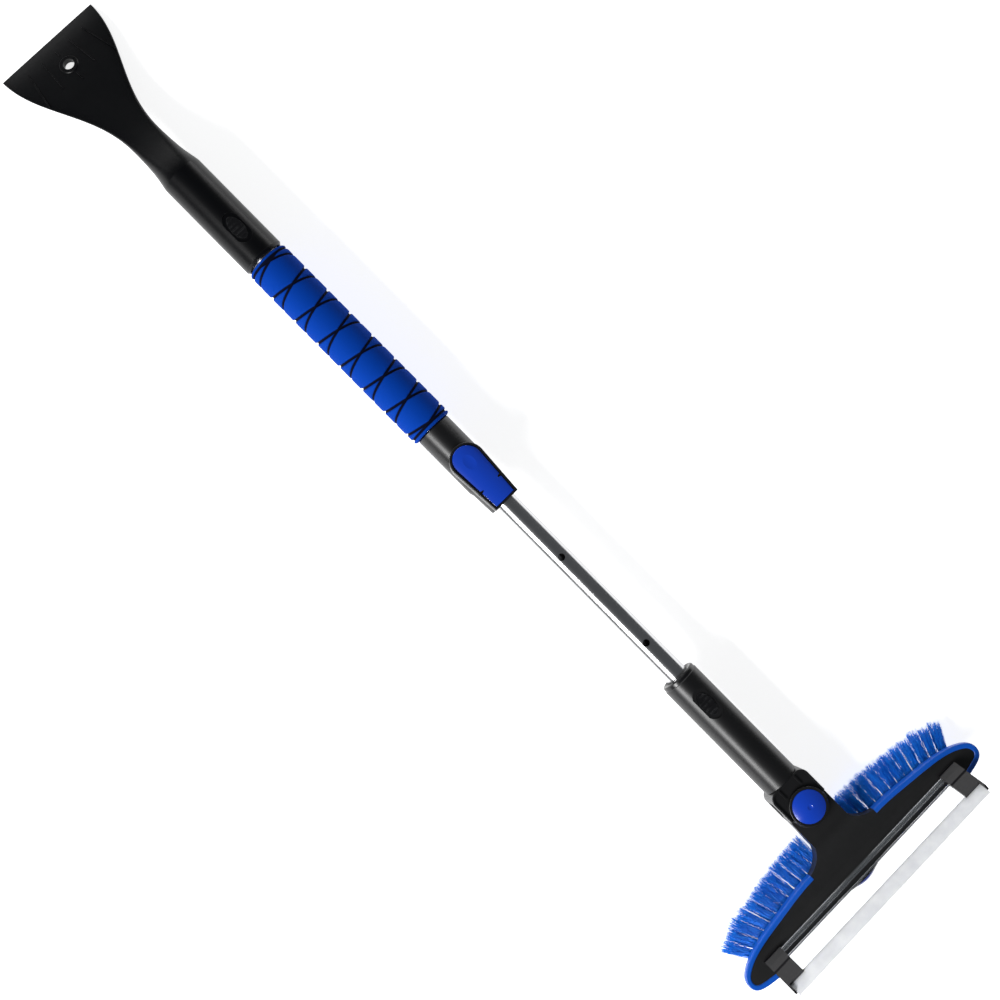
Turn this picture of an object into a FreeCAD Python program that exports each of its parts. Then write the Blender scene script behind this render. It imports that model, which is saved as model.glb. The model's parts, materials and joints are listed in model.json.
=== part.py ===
"""Snow brush with a telescopic handle, an ice scraper and a swivelling brush and squeegee head.

Lengths are millimetres. Every piece is drawn with X along the handle (the scraper towards -X, the head towards +X),
x = 0 on the swivel axis and z = 0 on the tube axis, and its Placement then moves it so that the floor is z = 0 and
the origin is under the middle of the whole object.
"""

import FreeCAD, Part
import math
import os
import re
import Sketcher
from FreeCAD import Rotation, Vector

SIZES = {
    # the handle from end to end
    "axis_height": 35.0,
    "knuckle_length": 28.0,
    "sleeve_length": 123.3,
    "tube_exposed": 204.1,
    "housing_length": 86.2,
    "foam_gap": 0.3,
    "foam_length": 196.9,
    "ring_gap": 2.0,
    "socket_length": 98.0,
    "blade_length": 175.0,
    # tubes
    "outer_tube_od": 25.0,
    "inner_tube_od": 20.5,
    "tube_wall": 1.2,
    "run_gap": 0.05,
    "free_gap": 0.3,
    "hole_pitch": 100.0,
    "lock_hole_d": 6.2,
    "pin_setback": 34.6,
    "inner_overlap": 98.0,
    "outer_tube_stop": 43.2,
    "socket_depth": 78.0,
    "sleeve_floor": 20.3,
    "spigot_length": 18.0,
    "spigot_d": 20.0,
    "bush_length": 15.0,
    "end_wall": 2.0,
    # grip
    "foam_od": 39.0,
    "foam_round": 2.5,
    # scraper
    "socket_od": 38.0,
    "blade_drop": 34.4,
    "blade_width": 102.2,
    "waist_width": 29.6,
    "edge_thick": 1.2,
    "hang_hole_d": 10.0,
    "hang_hole_set": 30.9,
    "hang_boss_d": 17.0,
    "hang_boss_thick": 5.4,
    "blade_rib_thick": 0.9,
    "blade_rib_rise": 0.6,
    # ribbed oval buttons
    "oval_recess_l": 30.0,
    "oval_recess_w": 18.6,
    "oval_pad_l": 22.4,
    "oval_pad_w": 11.6,
    "oval_recess_drop": 1.5,
    "oval_lip": 1.1,
    "oval_flange": 1.0,
    "oval_flange_edge": 1.5,
    "oval_pad_drop": 0.8,
    "oval_rib_rise": 0.5,
    "oval_rib_thick": 1.1,
    "oval_rib_pitch": 3.9,
    "scraper_button_set": 30.8,
    "head_button_set": 31.7,
    "button_travel": 2.5,
    "snap_pin_d": 7.0,
    "snap_strip": 0.5,
    "snap_strip_w": 6.0,
    "snap_reach": 26.0,
    # lock housing and lever
    "housing_od": 32.5,
    "housing_nose_od": 28.8,
    "housing_step": 26.0,
    "collar_length": 27.0,
    "collar_od": 25.0,
    "pin_bore_d": 21.4,
    "saddle_top": 21.4,
    "saddle_rim": 1.9,
    "lever_floor": 13.9,
    "lever_bottom": 18.2,
    "lever_top": 22.2,
    "lever_front_gap": 2.1,
    "lever_length": 56.7,
    "lever_round_w": 26.0,
    "lever_front_w": 20.4,
    "lever_gap": 0.45,
    "lever_crown": 34.0,
    "dish_radius": 34.0,
    "dish_depth": 0.7,
    "lever_pin_set": 19.2,
    "lever_pin_z": 20.0,
    "lever_pin_d": 2.4,
    "lock_pin_d": 5.0,
    "lock_pin_seat": 1.6,
    "lock_pin_lean": 0.7,
    "lock_pin_sweep": 3.2,
    # head sleeve
    "sleeve_od": 33.5,
    "end_ring_od": 32.4,
    "end_ring_length": 4.0,
    "end_ring_mouth": 27.5,
    "core_length": 62.0,
    "core_wall": 2.6,
    # knuckle
    "knuckle_w": 39.6,
    "knuckle_corner": 8.0,
    "knuckle_bottom": -16.0,
    "fork_low": -6.5,
    "tongue_low": -6.2,
    "tongue_high": 6.8,
    "fork_high": 7.1,
    "knuckle_floor": 12.0,
    "knuckle_lip": 14.0,
    "lip_thick": 1.6,
    "boss_top": 15.5,
    "boss_d": 35.0,
    "fork_back": 20.4,
    "rib_y": 9.0,
    "pivot_ring_in": 25.2,
    "pivot_ring_out": 30.0,
    "pivot_ring_deep": 2.0,
    "knuckle_screw_x": 26.0,
    "knuckle_screw_y": 12.5,
    "screw_d": 3.0,
    "screw_head_d": 5.6,
    "screw_head_t": 2.2,
    # pivot button and lock gear
    "pivot_button_d": 28.3,
    "pivot_button_low": 10.3,
    "pivot_button_edge": 15.7,
    "pivot_button_dome": 3.2,
    "pivot_dimple_d": 5.0,
    "pivot_dimple_deep": 0.7,
    "boss_floor": 9.5,
    "stem_d": 10.0,
    "gear_root_d": 18.8,
    "gear_tip_d": 21.6,
    "gear_low": -12.8,
    "gear_pocket_low": -13.6,
    "gear_recess_high": -3.0,
    "gear_hollow_d": 16.4,
    "gear_hollow_high": -8.4,
    "spring_wire": 1.0,
    "spring_d": 13.6,
    # head cover
    "neck_start": 22.0,
    "neck_straight": 30.4,
    "flare_x": 45.5,
    "flare_y": 38.6,
    "head_width": 280.0,
    "head_tip_x": 76.5,
    "head_back": 87.5,
    "plate_z": -4.0,
    "plate_thick": 2.8,
    "skirt_low": -9.0,
    "rim_width": 4.75,
    "rim_proud": 0.7,
    "skirt_wall": 2.4,
    # brush block
    "block_low": -17.0,
    "block_high": -7.4,
    "block_half": 122.0,
    "block_face": 8.0,
    "tuft_first": 25.0,
    "tuft_last": 115.0,
    "tuft_length": 38.0,
    "tuft_shorten": 3.0,
    "tuft_fan": 35.0,
    "tuft_root_w": 5.2,
    "tuft_tip_w": 7.2,
    "tuft_thick": 3.4,
    "tuft_row_step": 4.6,
    "tuft_low": -15.2,
    # squeegee
    "block_screw_x": 67.0,
    "block_screw_in": 40.0,
    "block_screw_out": 96.0,
    "squeegee_screw_x": 78.5,
    "squeegee_screw_y": 72.0,
    "squeegee_tilt": 52.0,
    "squeegee_x": 72.0,
    "squeegee_z": -3.0,
    "squeegee_half": 114.2,
    "holder_half": 112.0,
    "holder_length": 26.7,
    "holder_half_t": 2.4,
    "rubber_half_t": 1.15,
    "rubber_reach": 39.0,
    "rubber_tip_t": 0.45,
    "clip_inner": 98.0,
    "clip_outer": 116.0,
    "clip_wall": 1.8,
    "clip_end": 34.0,
}

# the blade drops with this power of the distance from the socket
BLADE_DROP_POWER = 1.35
TUFTS_PER_SIDE = 12
GEAR_TEETH = 24
LOADED_TUFTS = (2, 9)

doc = FreeCAD.newDocument("snow_brush")
sheet = doc.addObject("Spreadsheet::Sheet", "sizes")
for row, (alias, value) in enumerate(SIZES.items(), start=1):
    sheet.set(f"A{row}", alias)
    sheet.set(f"B{row}", str(value))
    sheet.setAlias(f"B{row}", alias)
doc.recompute()

# places along the handle, as expressions of the sheet's cells
SLEEVE_MOUTH = "(-knuckle_length - sleeve_length)"
HOUSING_MOUTH = f"({SLEEVE_MOUTH} - tube_exposed)"
HOUSING_BACK = f"({HOUSING_MOUTH} - housing_length)"
FOAM_FRONT = f"({HOUSING_BACK} - foam_gap)"
FOAM_BACK = f"({FOAM_FRONT} - foam_length)"
SOCKET_MOUTH = f"({FOAM_BACK} - ring_gap)"
SOCKET_BACK = f"({SOCKET_MOUTH} - socket_length)"
BLADE_EDGE = f"({SOCKET_BACK} - blade_length)"
LOCK_HOLE_X = f"({HOUSING_MOUTH} - pin_setback)"
LOCK_PIN_X = f"({LOCK_HOLE_X} - lock_pin_lean)"
SCRAPER_BUTTON_X = f"({SOCKET_MOUTH} - scraper_button_set)"
HEAD_BUTTON_X = f"({SLEEVE_MOUTH} + head_button_set)"
LEVER_FRONT = f"({HOUSING_MOUTH} - lever_front_gap)"
LEVER_PIN_X = f"({HOUSING_MOUTH} - lever_pin_set)"
RUBBER_TIP = "(squeegee_x + rubber_reach*cos(squeegee_tilt) + rubber_tip_t*sin(squeegee_tilt))"
MIDDLE = f"(({BLADE_EDGE} + {RUBBER_TIP})/2)"

ALIAS = re.compile(r"\b(" + "|".join(SIZES) + r")\b")


def cells(expression):
    """The expression as another object of the document must write it."""
    return ALIAS.sub(r"sizes.\1", str(expression))


def val(expression):
    """The expression's value now."""
    return float(sheet.evalExpression(str(expression)))


def bind(obj, **places):
    for path, expression in places.items():
        obj.setExpression(path.replace("__", "."), cells(expression))


nodes = []


def node(label, obj):
    """Name a finished piece and put it in the object's own frame, from wherever its own place is."""
    own = {path.lstrip("."): expression for path, expression in obj.ExpressionEngine}
    obj.Label = label
    for path, move in (("Placement.Base.x", f"-{MIDDLE}"), ("Placement.Base.z", "axis_height")):
        obj.setExpression(path, f"{own.get(path, '0')} + {cells(move)}")
    nodes.append(obj)
    return obj


# ---- PartDesign helpers -------------------------------------------------------------------------------------


def new_body(label):
    body = doc.addObject("PartDesign::Body", label)
    body.Label = label
    return body


def new_sketch(body, plane, name, lift="0"):
    sketch = body.newObject("Sketcher::SketchObject", name)
    origin = [f for f in body.Origin.OriginFeatures if f.Role == plane][0]
    sketch.AttachmentSupport = (origin, [""])
    sketch.MapMode = "FlatFace"
    bind(sketch, AttachmentOffset__Base__z=lift)
    return sketch


def draw_outline(sketch, points):
    """A closed outline of straight lines whose corners are expressions."""
    corners = [(val(a), val(b)) for a, b in points]
    first = sketch.GeometryCount
    count = len(corners)
    for k in range(count):
        start = Vector(*corners[k], 0)
        end = Vector(*corners[(k + 1) % count], 0)
        sketch.addGeometry(Part.LineSegment(start, end), False)
    for k in range(count):
        sketch.addConstraint(Sketcher.Constraint("Coincident", first + k, 2, first + (k + 1) % count, 1))
        for kind, part in (("DistanceX", 0), ("DistanceY", 1)):
            constraint = Sketcher.Constraint(kind, -1, 1, first + k, 1, corners[k][part])
            bind(sketch, **{f"Constraints[{sketch.addConstraint(constraint)}]": points[k][part]})


def turned(label, points):
    """A body turned about the tube axis from an outline of (x, radius) corners."""
    body = new_body(label)
    sketch = new_sketch(body, "XZ_Plane", label + "_profile")
    draw_outline(sketch, points)
    turning = body.newObject("PartDesign::Revolution", label + "_turning")
    turning.Profile = sketch
    turning.ReferenceAxis = (sketch, ["H_Axis"])
    turning.Angle = 360
    return body


def padded(body, name, low, high, draw):
    """Add a pad from height low to height high, drawn on the horizontal plane by draw(sketch)."""
    sketch = new_sketch(body, "XY_Plane", name + "_profile", low)
    draw(sketch)
    pad = body.newObject("PartDesign::Pad", name)
    pad.Profile = sketch
    bind(pad, Length=f"{high} - ({low})")
    return pad


def across(label, half, points):
    """A body with an (x, z) outline of lines, extruded over y from -half to half."""
    body = new_body(label)
    sketch = new_sketch(body, "XZ_Plane", label + "_profile")
    draw_outline(sketch, points)
    pad = body.newObject("PartDesign::Pad", label + "_pad")
    pad.Profile = sketch
    pad.Midplane = True
    bind(pad, Length=f"2*({half})")
    return body


def rounded(body, name, radius, chosen):
    """Round the edges of the body that chosen(edge) accepts."""
    doc.recompute()
    base = body.Tip
    edges = [f"Edge{k}" for k, edge in enumerate(base.Shape.Edges, start=1) if chosen(edge)]
    fillet = body.newObject("PartDesign::Fillet", name)
    fillet.Base = (base, edges)
    bind(fillet, Radius=radius)
    return fillet


def level(edge, height):
    """Whether an edge lies flat at a height."""
    box = edge.BoundBox
    return abs(box.ZMin - height) < 1e-4 and abs(box.ZMax - height) < 1e-4


# ---- Part helpers -------------------------------------------------------------------------------------------


def rod(name, axis, diameter, start, length, x="0", y="0", z="0"):
    """A Part::Cylinder along an axis letter, starting at start on that axis."""
    obj = doc.addObject("Part::Cylinder", name)
    bind(obj, Radius=f"({diameter})/2", Height=length)
    turn = {"X": Rotation(Vector(0, 1, 0), 90), "Y": Rotation(Vector(1, 0, 0), -90), "Z": Rotation()}[axis]
    obj.Placement = FreeCAD.Placement(Vector(), turn)
    place = {"X": (start, y, z), "Y": (x, start, z), "Z": (x, y, start)}[axis]
    bind(obj, Placement__Base__x=place[0], Placement__Base__y=place[1], Placement__Base__z=place[2])
    return obj


def oval(name, x, length, width, low, high):
    """An upright elliptic prism."""
    ring = doc.addObject("Part::Ellipse", name + "_ring")
    bind(ring, MajorRadius=f"({length})/2", MinorRadius=f"({width})/2")
    bind(ring, Placement__Base__x=x, Placement__Base__z=low)
    prism = doc.addObject("Part::Extrusion", name)
    prism.Base = ring
    prism.DirMode = "Custom"
    prism.Dir = Vector(0, 0, 1)
    prism.Solid = True
    bind(prism, LengthFwd=f"({high}) - ({low})")
    return prism


def block(name, x0, x1, y0, y1, z0, z1):
    obj = doc.addObject("Part::Box", name)
    bind(obj, Length=f"({x1}) - ({x0})", Width=f"({y1}) - ({y0})", Height=f"({z1}) - ({z0})")
    bind(obj, Placement__Base__x=x0, Placement__Base__y=y0, Placement__Base__z=z0)
    return obj


def join(name, *pieces):
    obj = doc.addObject("Part::MultiFuse", name)
    obj.Shapes = list(pieces)
    return obj


def cut(name, base, *tools):
    obj = doc.addObject("Part::Cut", name)
    obj.Base = base
    obj.Tool = tools[0] if len(tools) == 1 else join(name + "_tools", *tools)
    return obj


def overlap(name, first, second):
    obj = doc.addObject("Part::MultiCommon", name)
    obj.Shapes = [first, second]
    return obj


def solid(name, shape):
    """A Part::Feature for a shape that neither a body nor a primitive gives."""
    obj = doc.addObject("Part::Feature", name)
    obj.Shape = shape
    return obj


def prism(wire, low, high):
    """A solid between two heights over a flat wire."""
    face = Part.Face(wire)
    face.translate(Vector(0, 0, low))
    return face.extrude(Vector(0, 0, high - low))


def smooth(points):
    curve = Part.BSplineCurve()
    curve.interpolate([Vector(*p) for p in points])
    return curve


def chain(points):
    return [Part.LineSegment(a, b).toShape() for a, b in zip(points, points[1:]) if a.distanceToPoint(b) > 1e-6]


# ---- handle -------------------------------------------------------------------------------------------------


def tube(label, start, end, diameter):
    outer = f"{diameter}/2"
    inner = f"{diameter}/2 - tube_wall"
    return turned(label, [(start, outer), (end, outer), (end, inner), (start, inner)])


def handle_tube():
    start = f"({SOCKET_MOUTH} - socket_depth)"
    end = f"({HOUSING_MOUTH} - outer_tube_stop)"
    body = tube("outer_tube_turning", start, end, "outer_tube_od")
    hole = rod("outer_snap_hole", "Z", "snap_pin_d + 2*free_gap", "0", "outer_tube_od", x=SCRAPER_BUTTON_X)
    node("handle_tube", cut("handle_tube_cut", body, hole))


def foam_grip():
    bore, out, end = "outer_tube_od/2", "foam_od/2", "foam_round"
    points = [
        (FOAM_BACK, bore),
        (FOAM_BACK, f"{out} - {end}"),
        (f"{FOAM_BACK} + {end}", out),
        (f"{FOAM_FRONT} - {end}", out),
        (FOAM_FRONT, f"{out} - {end}"),
        (FOAM_FRONT, bore),
    ]
    node("foam_grip", turned("foam_grip", points))


# ---- ribbed oval release buttons ----------------------------------------------------------------------------


def oval_tools(name, x, radius):
    """The recess, window and inner space that a ribbed button needs in a sleeve of this outer radius."""
    floor = f"{radius} - oval_recess_drop"
    lip = f"{radius} - oval_recess_drop - oval_lip"
    wide = "2*oval_flange_edge + 2*free_gap"
    return [
        oval(name + "_recess", x, "oval_recess_l", "oval_recess_w", floor, f"{radius} + 2"),
        oval(name + "_window", x, "oval_pad_l + 2*free_gap", "oval_pad_w + 2*free_gap", "0", f"{radius} + 1"),
        oval(name + "_space", x, f"oval_pad_l + {wide}", f"oval_pad_w + {wide}", "0", lip),
    ]


def oval_button(label, x, radius):
    lip = f"{radius} - oval_recess_drop - oval_lip - 0.1"
    top = f"{radius} - oval_pad_drop"
    pad = oval(label + "_pad", x, "oval_pad_l", "oval_pad_w", f"{lip} - oval_flange", top)
    edge = "2*oval_flange_edge"
    long, wide = f"oval_pad_l + {edge}", f"oval_pad_w + {edge}"
    flange = oval(label + "_flange", x, long, wide, f"{lip} - oval_flange", lip)
    high = f"{top} + oval_rib_rise"
    top_oval = oval(label + "_ribs_oval", x, "oval_pad_l - 1", "oval_pad_w - 1", f"{top} - 0.5", high)
    bars = []
    for k in range(-2, 3):
        left = f"{x} + ({k})*oval_rib_pitch - oval_rib_thick/2"
        name = f"{label}_bar_{k + 2}"
        bars.append(block(name, left, f"{left} + oval_rib_thick", "-oval_pad_w", "oval_pad_w", "0", f"{radius} + 1"))
    ribs = overlap(label + "_ribs", top_oval, join(label + "_bars", *bars))
    node(label, join(label + "_whole", pad, flange, ribs))


def snap_parts(name, x, radius, bore):
    """The pin that a ribbed button pushes, and the U-shaped leaf that carries it inside the tube."""
    strip_high = f"{bore} - 0.75"
    pin_high = f"{radius} - oval_recess_drop - oval_lip - 0.1 - oval_flange"
    pin = rod(name + "_pin_rod", "Z", "snap_pin_d", strip_high, f"{pin_high} - ({strip_high})", x=x)
    node(name + "_snap_pin", pin)
    front, back, t = f"{x} + 4.5", f"{x} - snap_reach", "snap_strip"
    low = f"-({strip_high})"
    points = [
        (front, strip_high),
        (f"{back} + 5", strip_high),
        (back, f"{strip_high} - 5"),
        (back, f"{low} + 5"),
        (f"{back} + 5", low),
        (front, low),
        (front, f"{low} + {t}"),
        (f"{back} + 5.2", f"{low} + {t}"),
        (f"{back} + {t}", f"{low} + 5.2"),
        (f"{back} + {t}", f"{strip_high} - 5.2"),
        (f"{back} + 5.2", f"{strip_high} - {t}"),
        (front, f"{strip_high} - {t}"),
    ]
    node(name + "_snap_spring", across(name + "_snap_spring", "snap_strip_w/2", points))


def core_slots(name, start, length, inner, outer):
    """Long moulded hollows between the inner sleeve and the outer wall, around all but the top."""
    slots = []
    for k, angle in enumerate((115, 173, 231, 289)):
        ring = cut(
            f"{name}_{k}",
            rod(f"{name}_{k}_out", "X", outer, start, length),
            rod(f"{name}_{k}_in", "X", inner, start, length),
        )
        wedge = doc.addObject("Part::Cylinder", f"{name}_{k}_wedge")
        wedge.Angle = 50
        bind(wedge, Radius=outer, Height=length)
        turn = Rotation(Vector(1, 0, 0), angle - 50) * Rotation(Vector(0, 1, 0), 90)
        wedge.Placement = FreeCAD.Placement(Vector(), turn)
        bind(wedge, Placement__Base__x=start)
        slots.append(overlap(f"{name}_{k}_slot", ring, wedge))
    return slots


# ---- ice scraper --------------------------------------------------------------------------------------------


def blade_drop_at(share):
    """How far the blade's middle surface has dropped, for a share of the blade's length."""
    return -val("blade_drop") * share**BLADE_DROP_POWER


def blade_half_thickness(share):
    """Thins quickly behind the socket, then evenly to the scraping edge."""
    root, edge = val("socket_od") / 2, val("edge_thick") / 2
    body = 2.1 + (root - 2.1) * math.exp(-((share / 0.21) ** 1.35))
    return body if share < 0.93 else body + (edge - body) * (share - 0.93) / 0.07


def blade_half_width(share):
    """Narrows from the socket to a waist, then flares like a bell to the edge."""
    root, waist, full = val("socket_od") / 2, val("waist_width") / 2, val("blade_width") / 2
    neck = waist + (root - waist) * math.exp(-((share / 0.09) ** 1.3))
    along = max(0.0, (share - 0.25) / 0.75)
    return neck + (full - waist) * math.sin(math.pi / 2 * along) ** 2.2


def blade_section(share):
    """A superellipse across the blade: round at the socket and flat with rounded edges beyond it."""
    half_w, half_t = blade_half_width(share), blade_half_thickness(share)
    power = 2 / (2 + 1.6 * min(1.0, share / 0.4))
    x = val(SOCKET_BACK) - share * val("blade_length")
    points = []
    for k in range(28):
        turn = 2 * math.pi * k / 28
        c, s = math.cos(turn), math.sin(turn)
        y = half_w * math.copysign(abs(c) ** power, c)
        z = half_t * math.copysign(abs(s) ** power, s) + blade_drop_at(share)
        points.append(Vector(x, y, z))
    curve = Part.BSplineCurve()
    curve.interpolate(points, PeriodicFlag=True)
    return Part.Wire(curve.toShape())


def blade_rib(share_low, share_high, y_low, y_high):
    """A thin raised line on the blade's top, from one share of the length to another."""
    def top(share):
        x = val(SOCKET_BACK) - share * val("blade_length")
        return x, blade_drop_at(share) + blade_half_thickness(share)

    steps = [share_low + (share_high - share_low) * k / 6 for k in range(7)]
    upper = [Vector(top(s)[0], 0, top(s)[1] + val("blade_rib_rise")) for s in steps]
    lower = [Vector(top(s)[0], 0, top(s)[1] - 1.2) for s in reversed(steps)]
    face = Part.Face(Part.Wire(chain(upper + lower + upper[:1])))
    thick = val("blade_rib_thick")
    face.translate(Vector(0, -thick / 2, 0))
    rib = face.extrude(Vector(0, thick, 0))
    start = Vector(upper[0].x, 0, 0)
    lean = math.degrees(math.atan2(y_low - y_high, abs(upper[-1].x - upper[0].x)))
    rib.rotate(start, Vector(0, 0, 1), lean)
    rib.translate(Vector(0, y_low, 0))
    return rib


def ice_scraper():
    bore, out, end = "outer_tube_od/2", "socket_od/2", "0.8"
    floor = f"({SOCKET_MOUTH} - socket_depth)"
    points = [
        (SOCKET_MOUTH, bore),
        (SOCKET_MOUTH, f"{out} - {end} - 1"),
        (f"{SOCKET_MOUTH} - 1.4", f"{out} - {end}"),
        (f"{SOCKET_MOUTH} - 2.2", out),
        (SOCKET_BACK, out),
        (SOCKET_BACK, "0"),
        (floor, "0"),
        (floor, bore),
    ]
    socket = turned("scraper_socket_turning", points)
    shares = [0, 0.06, 0.13, 0.21, 0.30, 0.40, 0.50, 0.60, 0.70, 0.80, 0.89, 0.96, 1.0]
    loft = Part.makeLoft([blade_section(s) for s in shares], True, False)
    blade = solid("scraper_blade_loft", loft)

    hole_share = 1 - val("hang_hole_set") / val("blade_length")
    steepness = BLADE_DROP_POWER * val("blade_drop") * hole_share ** (BLADE_DROP_POWER - 1)
    slope = math.degrees(math.atan(steepness / val("blade_length")))
    centre = Vector(val(f"{BLADE_EDGE} + hang_hole_set"), 0, blade_drop_at(hole_share))
    up = Rotation(Vector(0, 1, 0), -slope).multVec(Vector(0, 0, 1))
    thick, radius = val("hang_boss_thick"), val("hang_hole_d") / 2
    boss = Part.makeCylinder(val("hang_boss_d") / 2, thick, centre - up * (thick / 2), up)
    boss = boss.makeChamfer(0.5, [e for e in boss.Edges if len(e.Vertexes) == 1])
    bore_hole = Part.makeCylinder(radius, 40, centre - up * 20, up)

    ribs = []
    shares = ((0.93, 0.72, 31, 24), (0.93, 0.75, 15.5, 13), (0.93, 0.90, 0, 0))
    for low, high, y_low, y_high in shares:
        for side in (1, -1) if y_low else (1,):
            ribs.append(blade_rib(low, high, side * y_low, side * y_high))
    ribs.append(blade_rib(0.765, 0.72, 0, 0))
    lines = solid("blade_ribs", Part.makeCompound(ribs))
    raised = join("scraper_raised", socket, blade, solid("hang_boss", boss), lines)
    tools = oval_tools("scraper_oval", SCRAPER_BUTTON_X, out)
    start, far = SOCKET_MOUTH + " - core_length", f"2*({out} - core_wall)"
    tools += core_slots("socket_core", start, "core_length + 1", f"{bore}*2 + 4.4", far)
    tools.append(rod("socket_bore", "X", "outer_tube_od", floor, f"socket_depth + 1"))
    tools.append(solid("hang_hole_tool", bore_hole))
    node("ice_scraper", cut("ice_scraper_cut", raised, *tools))
    return centre, up


# ---- lock housing and release lever -------------------------------------------------------------------------


def draw_teardrop(grow):
    """The lever's outline, grown by an offset: a round end towards the grip and a flat end towards the head."""
    radius = f"(lever_round_w/2 + {grow})"
    front = f"({LEVER_FRONT} + {grow})"
    half = f"(lever_front_w/2 + {grow})"
    centre = f"({LEVER_FRONT} - lever_length + lever_round_w/2)"

    def draw(sketch):
        r, xf, hf, xc = val(radius), val(front), val(half), val(centre)
        lean = math.asin((r - hf) / math.hypot(xf - xc, hf)) if r > hf else 0.0
        turn = math.pi / 2 - lean
        touch = Vector(xc + r * math.cos(turn), r * math.sin(turn), 0)
        low_touch = Vector(touch.x, -touch.y, 0)
        top, bottom = Vector(xf, hf, 0), Vector(xf, -hf, 0)
        sketch.addGeometry(Part.LineSegment(bottom, top), False)
        sketch.addGeometry(Part.LineSegment(top, touch), False)
        arc = Part.ArcOfCircle(Part.Circle(Vector(xc, 0, 0), Vector(0, 0, 1), r), turn, 2 * math.pi - turn)
        sketch.addGeometry(arc, False)
        sketch.addGeometry(Part.LineSegment(low_touch, bottom), False)
        sketch.addConstraint(Sketcher.Constraint("Coincident", 0, 2, 1, 1))
        sketch.addConstraint(Sketcher.Constraint("Tangent", 1, 2, 2, 1))
        sketch.addConstraint(Sketcher.Constraint("Tangent", 2, 2, 3, 1))
        sketch.addConstraint(Sketcher.Constraint("Coincident", 3, 2, 0, 1))
        for constraint, expression in (
            (Sketcher.Constraint("DistanceX", -1, 1, 0, 2, xf), front),
            (Sketcher.Constraint("DistanceY", -1, 1, 0, 2, hf), half),
            (Sketcher.Constraint("DistanceX", -1, 1, 0, 1, xf), front),
            (Sketcher.Constraint("DistanceY", -1, 1, 0, 1, -hf), f"-{half}"),
            (Sketcher.Constraint("DistanceX", -1, 1, 2, 3, xc), centre),
            (Sketcher.Constraint("PointOnObject", 2, 3, -1), None),
            (Sketcher.Constraint("Radius", 2, r), radius),
        ):
            index = sketch.addConstraint(constraint)
            if expression:
                bind(sketch, **{f"Constraints[{index}]": expression})

    return draw


def lock_housing():
    out, nose, end = "housing_od/2", "housing_nose_od/2", "1.0"
    points = [
        (HOUSING_BACK, "0"),
        (HOUSING_BACK, f"{out} - {end}"),
        (f"{HOUSING_BACK} + {end}", out),
        (f"{HOUSING_MOUTH} - housing_step", out),
        (f"{HOUSING_MOUTH} - housing_step + 4", f"{nose} + 0.8"),
        (f"{HOUSING_MOUTH} - {end}", nose),
        (HOUSING_MOUTH, f"{nose} - {end}"),
        (HOUSING_MOUTH, "0"),
    ]
    outside = turned("housing_turning", points)
    saddle = new_body("housing_saddle")
    padded(saddle, "saddle_pad", "0", "saddle_top", draw_teardrop("(lever_gap + saddle_rim)"))
    rounded(saddle, "saddle_round", "0.9", lambda edge: level(edge, val("saddle_top")))
    shell = join("housing_outside", outside, saddle)

    pocket = new_body("lever_pocket")
    padded(pocket, "lever_pocket_pad", "lever_floor", "lever_top + 3", draw_teardrop("lever_gap"))
    collar_back = f"({HOUSING_MOUTH} - collar_length)"
    tube_end = f"({HOUSING_MOUTH} - outer_tube_stop)"
    tools = [
        pocket,
        rod("housing_tube_bore", "X", "outer_tube_od", f"{HOUSING_BACK} - 1", f"{tube_end} - {HOUSING_BACK} + 1"),
        rod("housing_pin_bore", "X", "pin_bore_d", f"{tube_end} - 1", f"{collar_back} - {tube_end} + 2"),
        rod("housing_collar_bore", "X", "collar_od", collar_back, "collar_length + 3"),
        rod("housing_pin_hole", "Z", "lock_pin_d + lock_pin_sweep", "0", "lever_floor + 1", x=LOCK_PIN_X),
        rod("housing_hinge_hole", "Y", "lever_pin_d", "-housing_od/2", "housing_od", x=LEVER_PIN_X, z="lever_pin_z"),
        block("housing_front_trim", HOUSING_MOUTH, f"{HOUSING_MOUTH} + 6", "-20", "20", "-20", "30"),
    ]
    node("lock_housing", cut("lock_housing_cut", shell, *tools))


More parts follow.
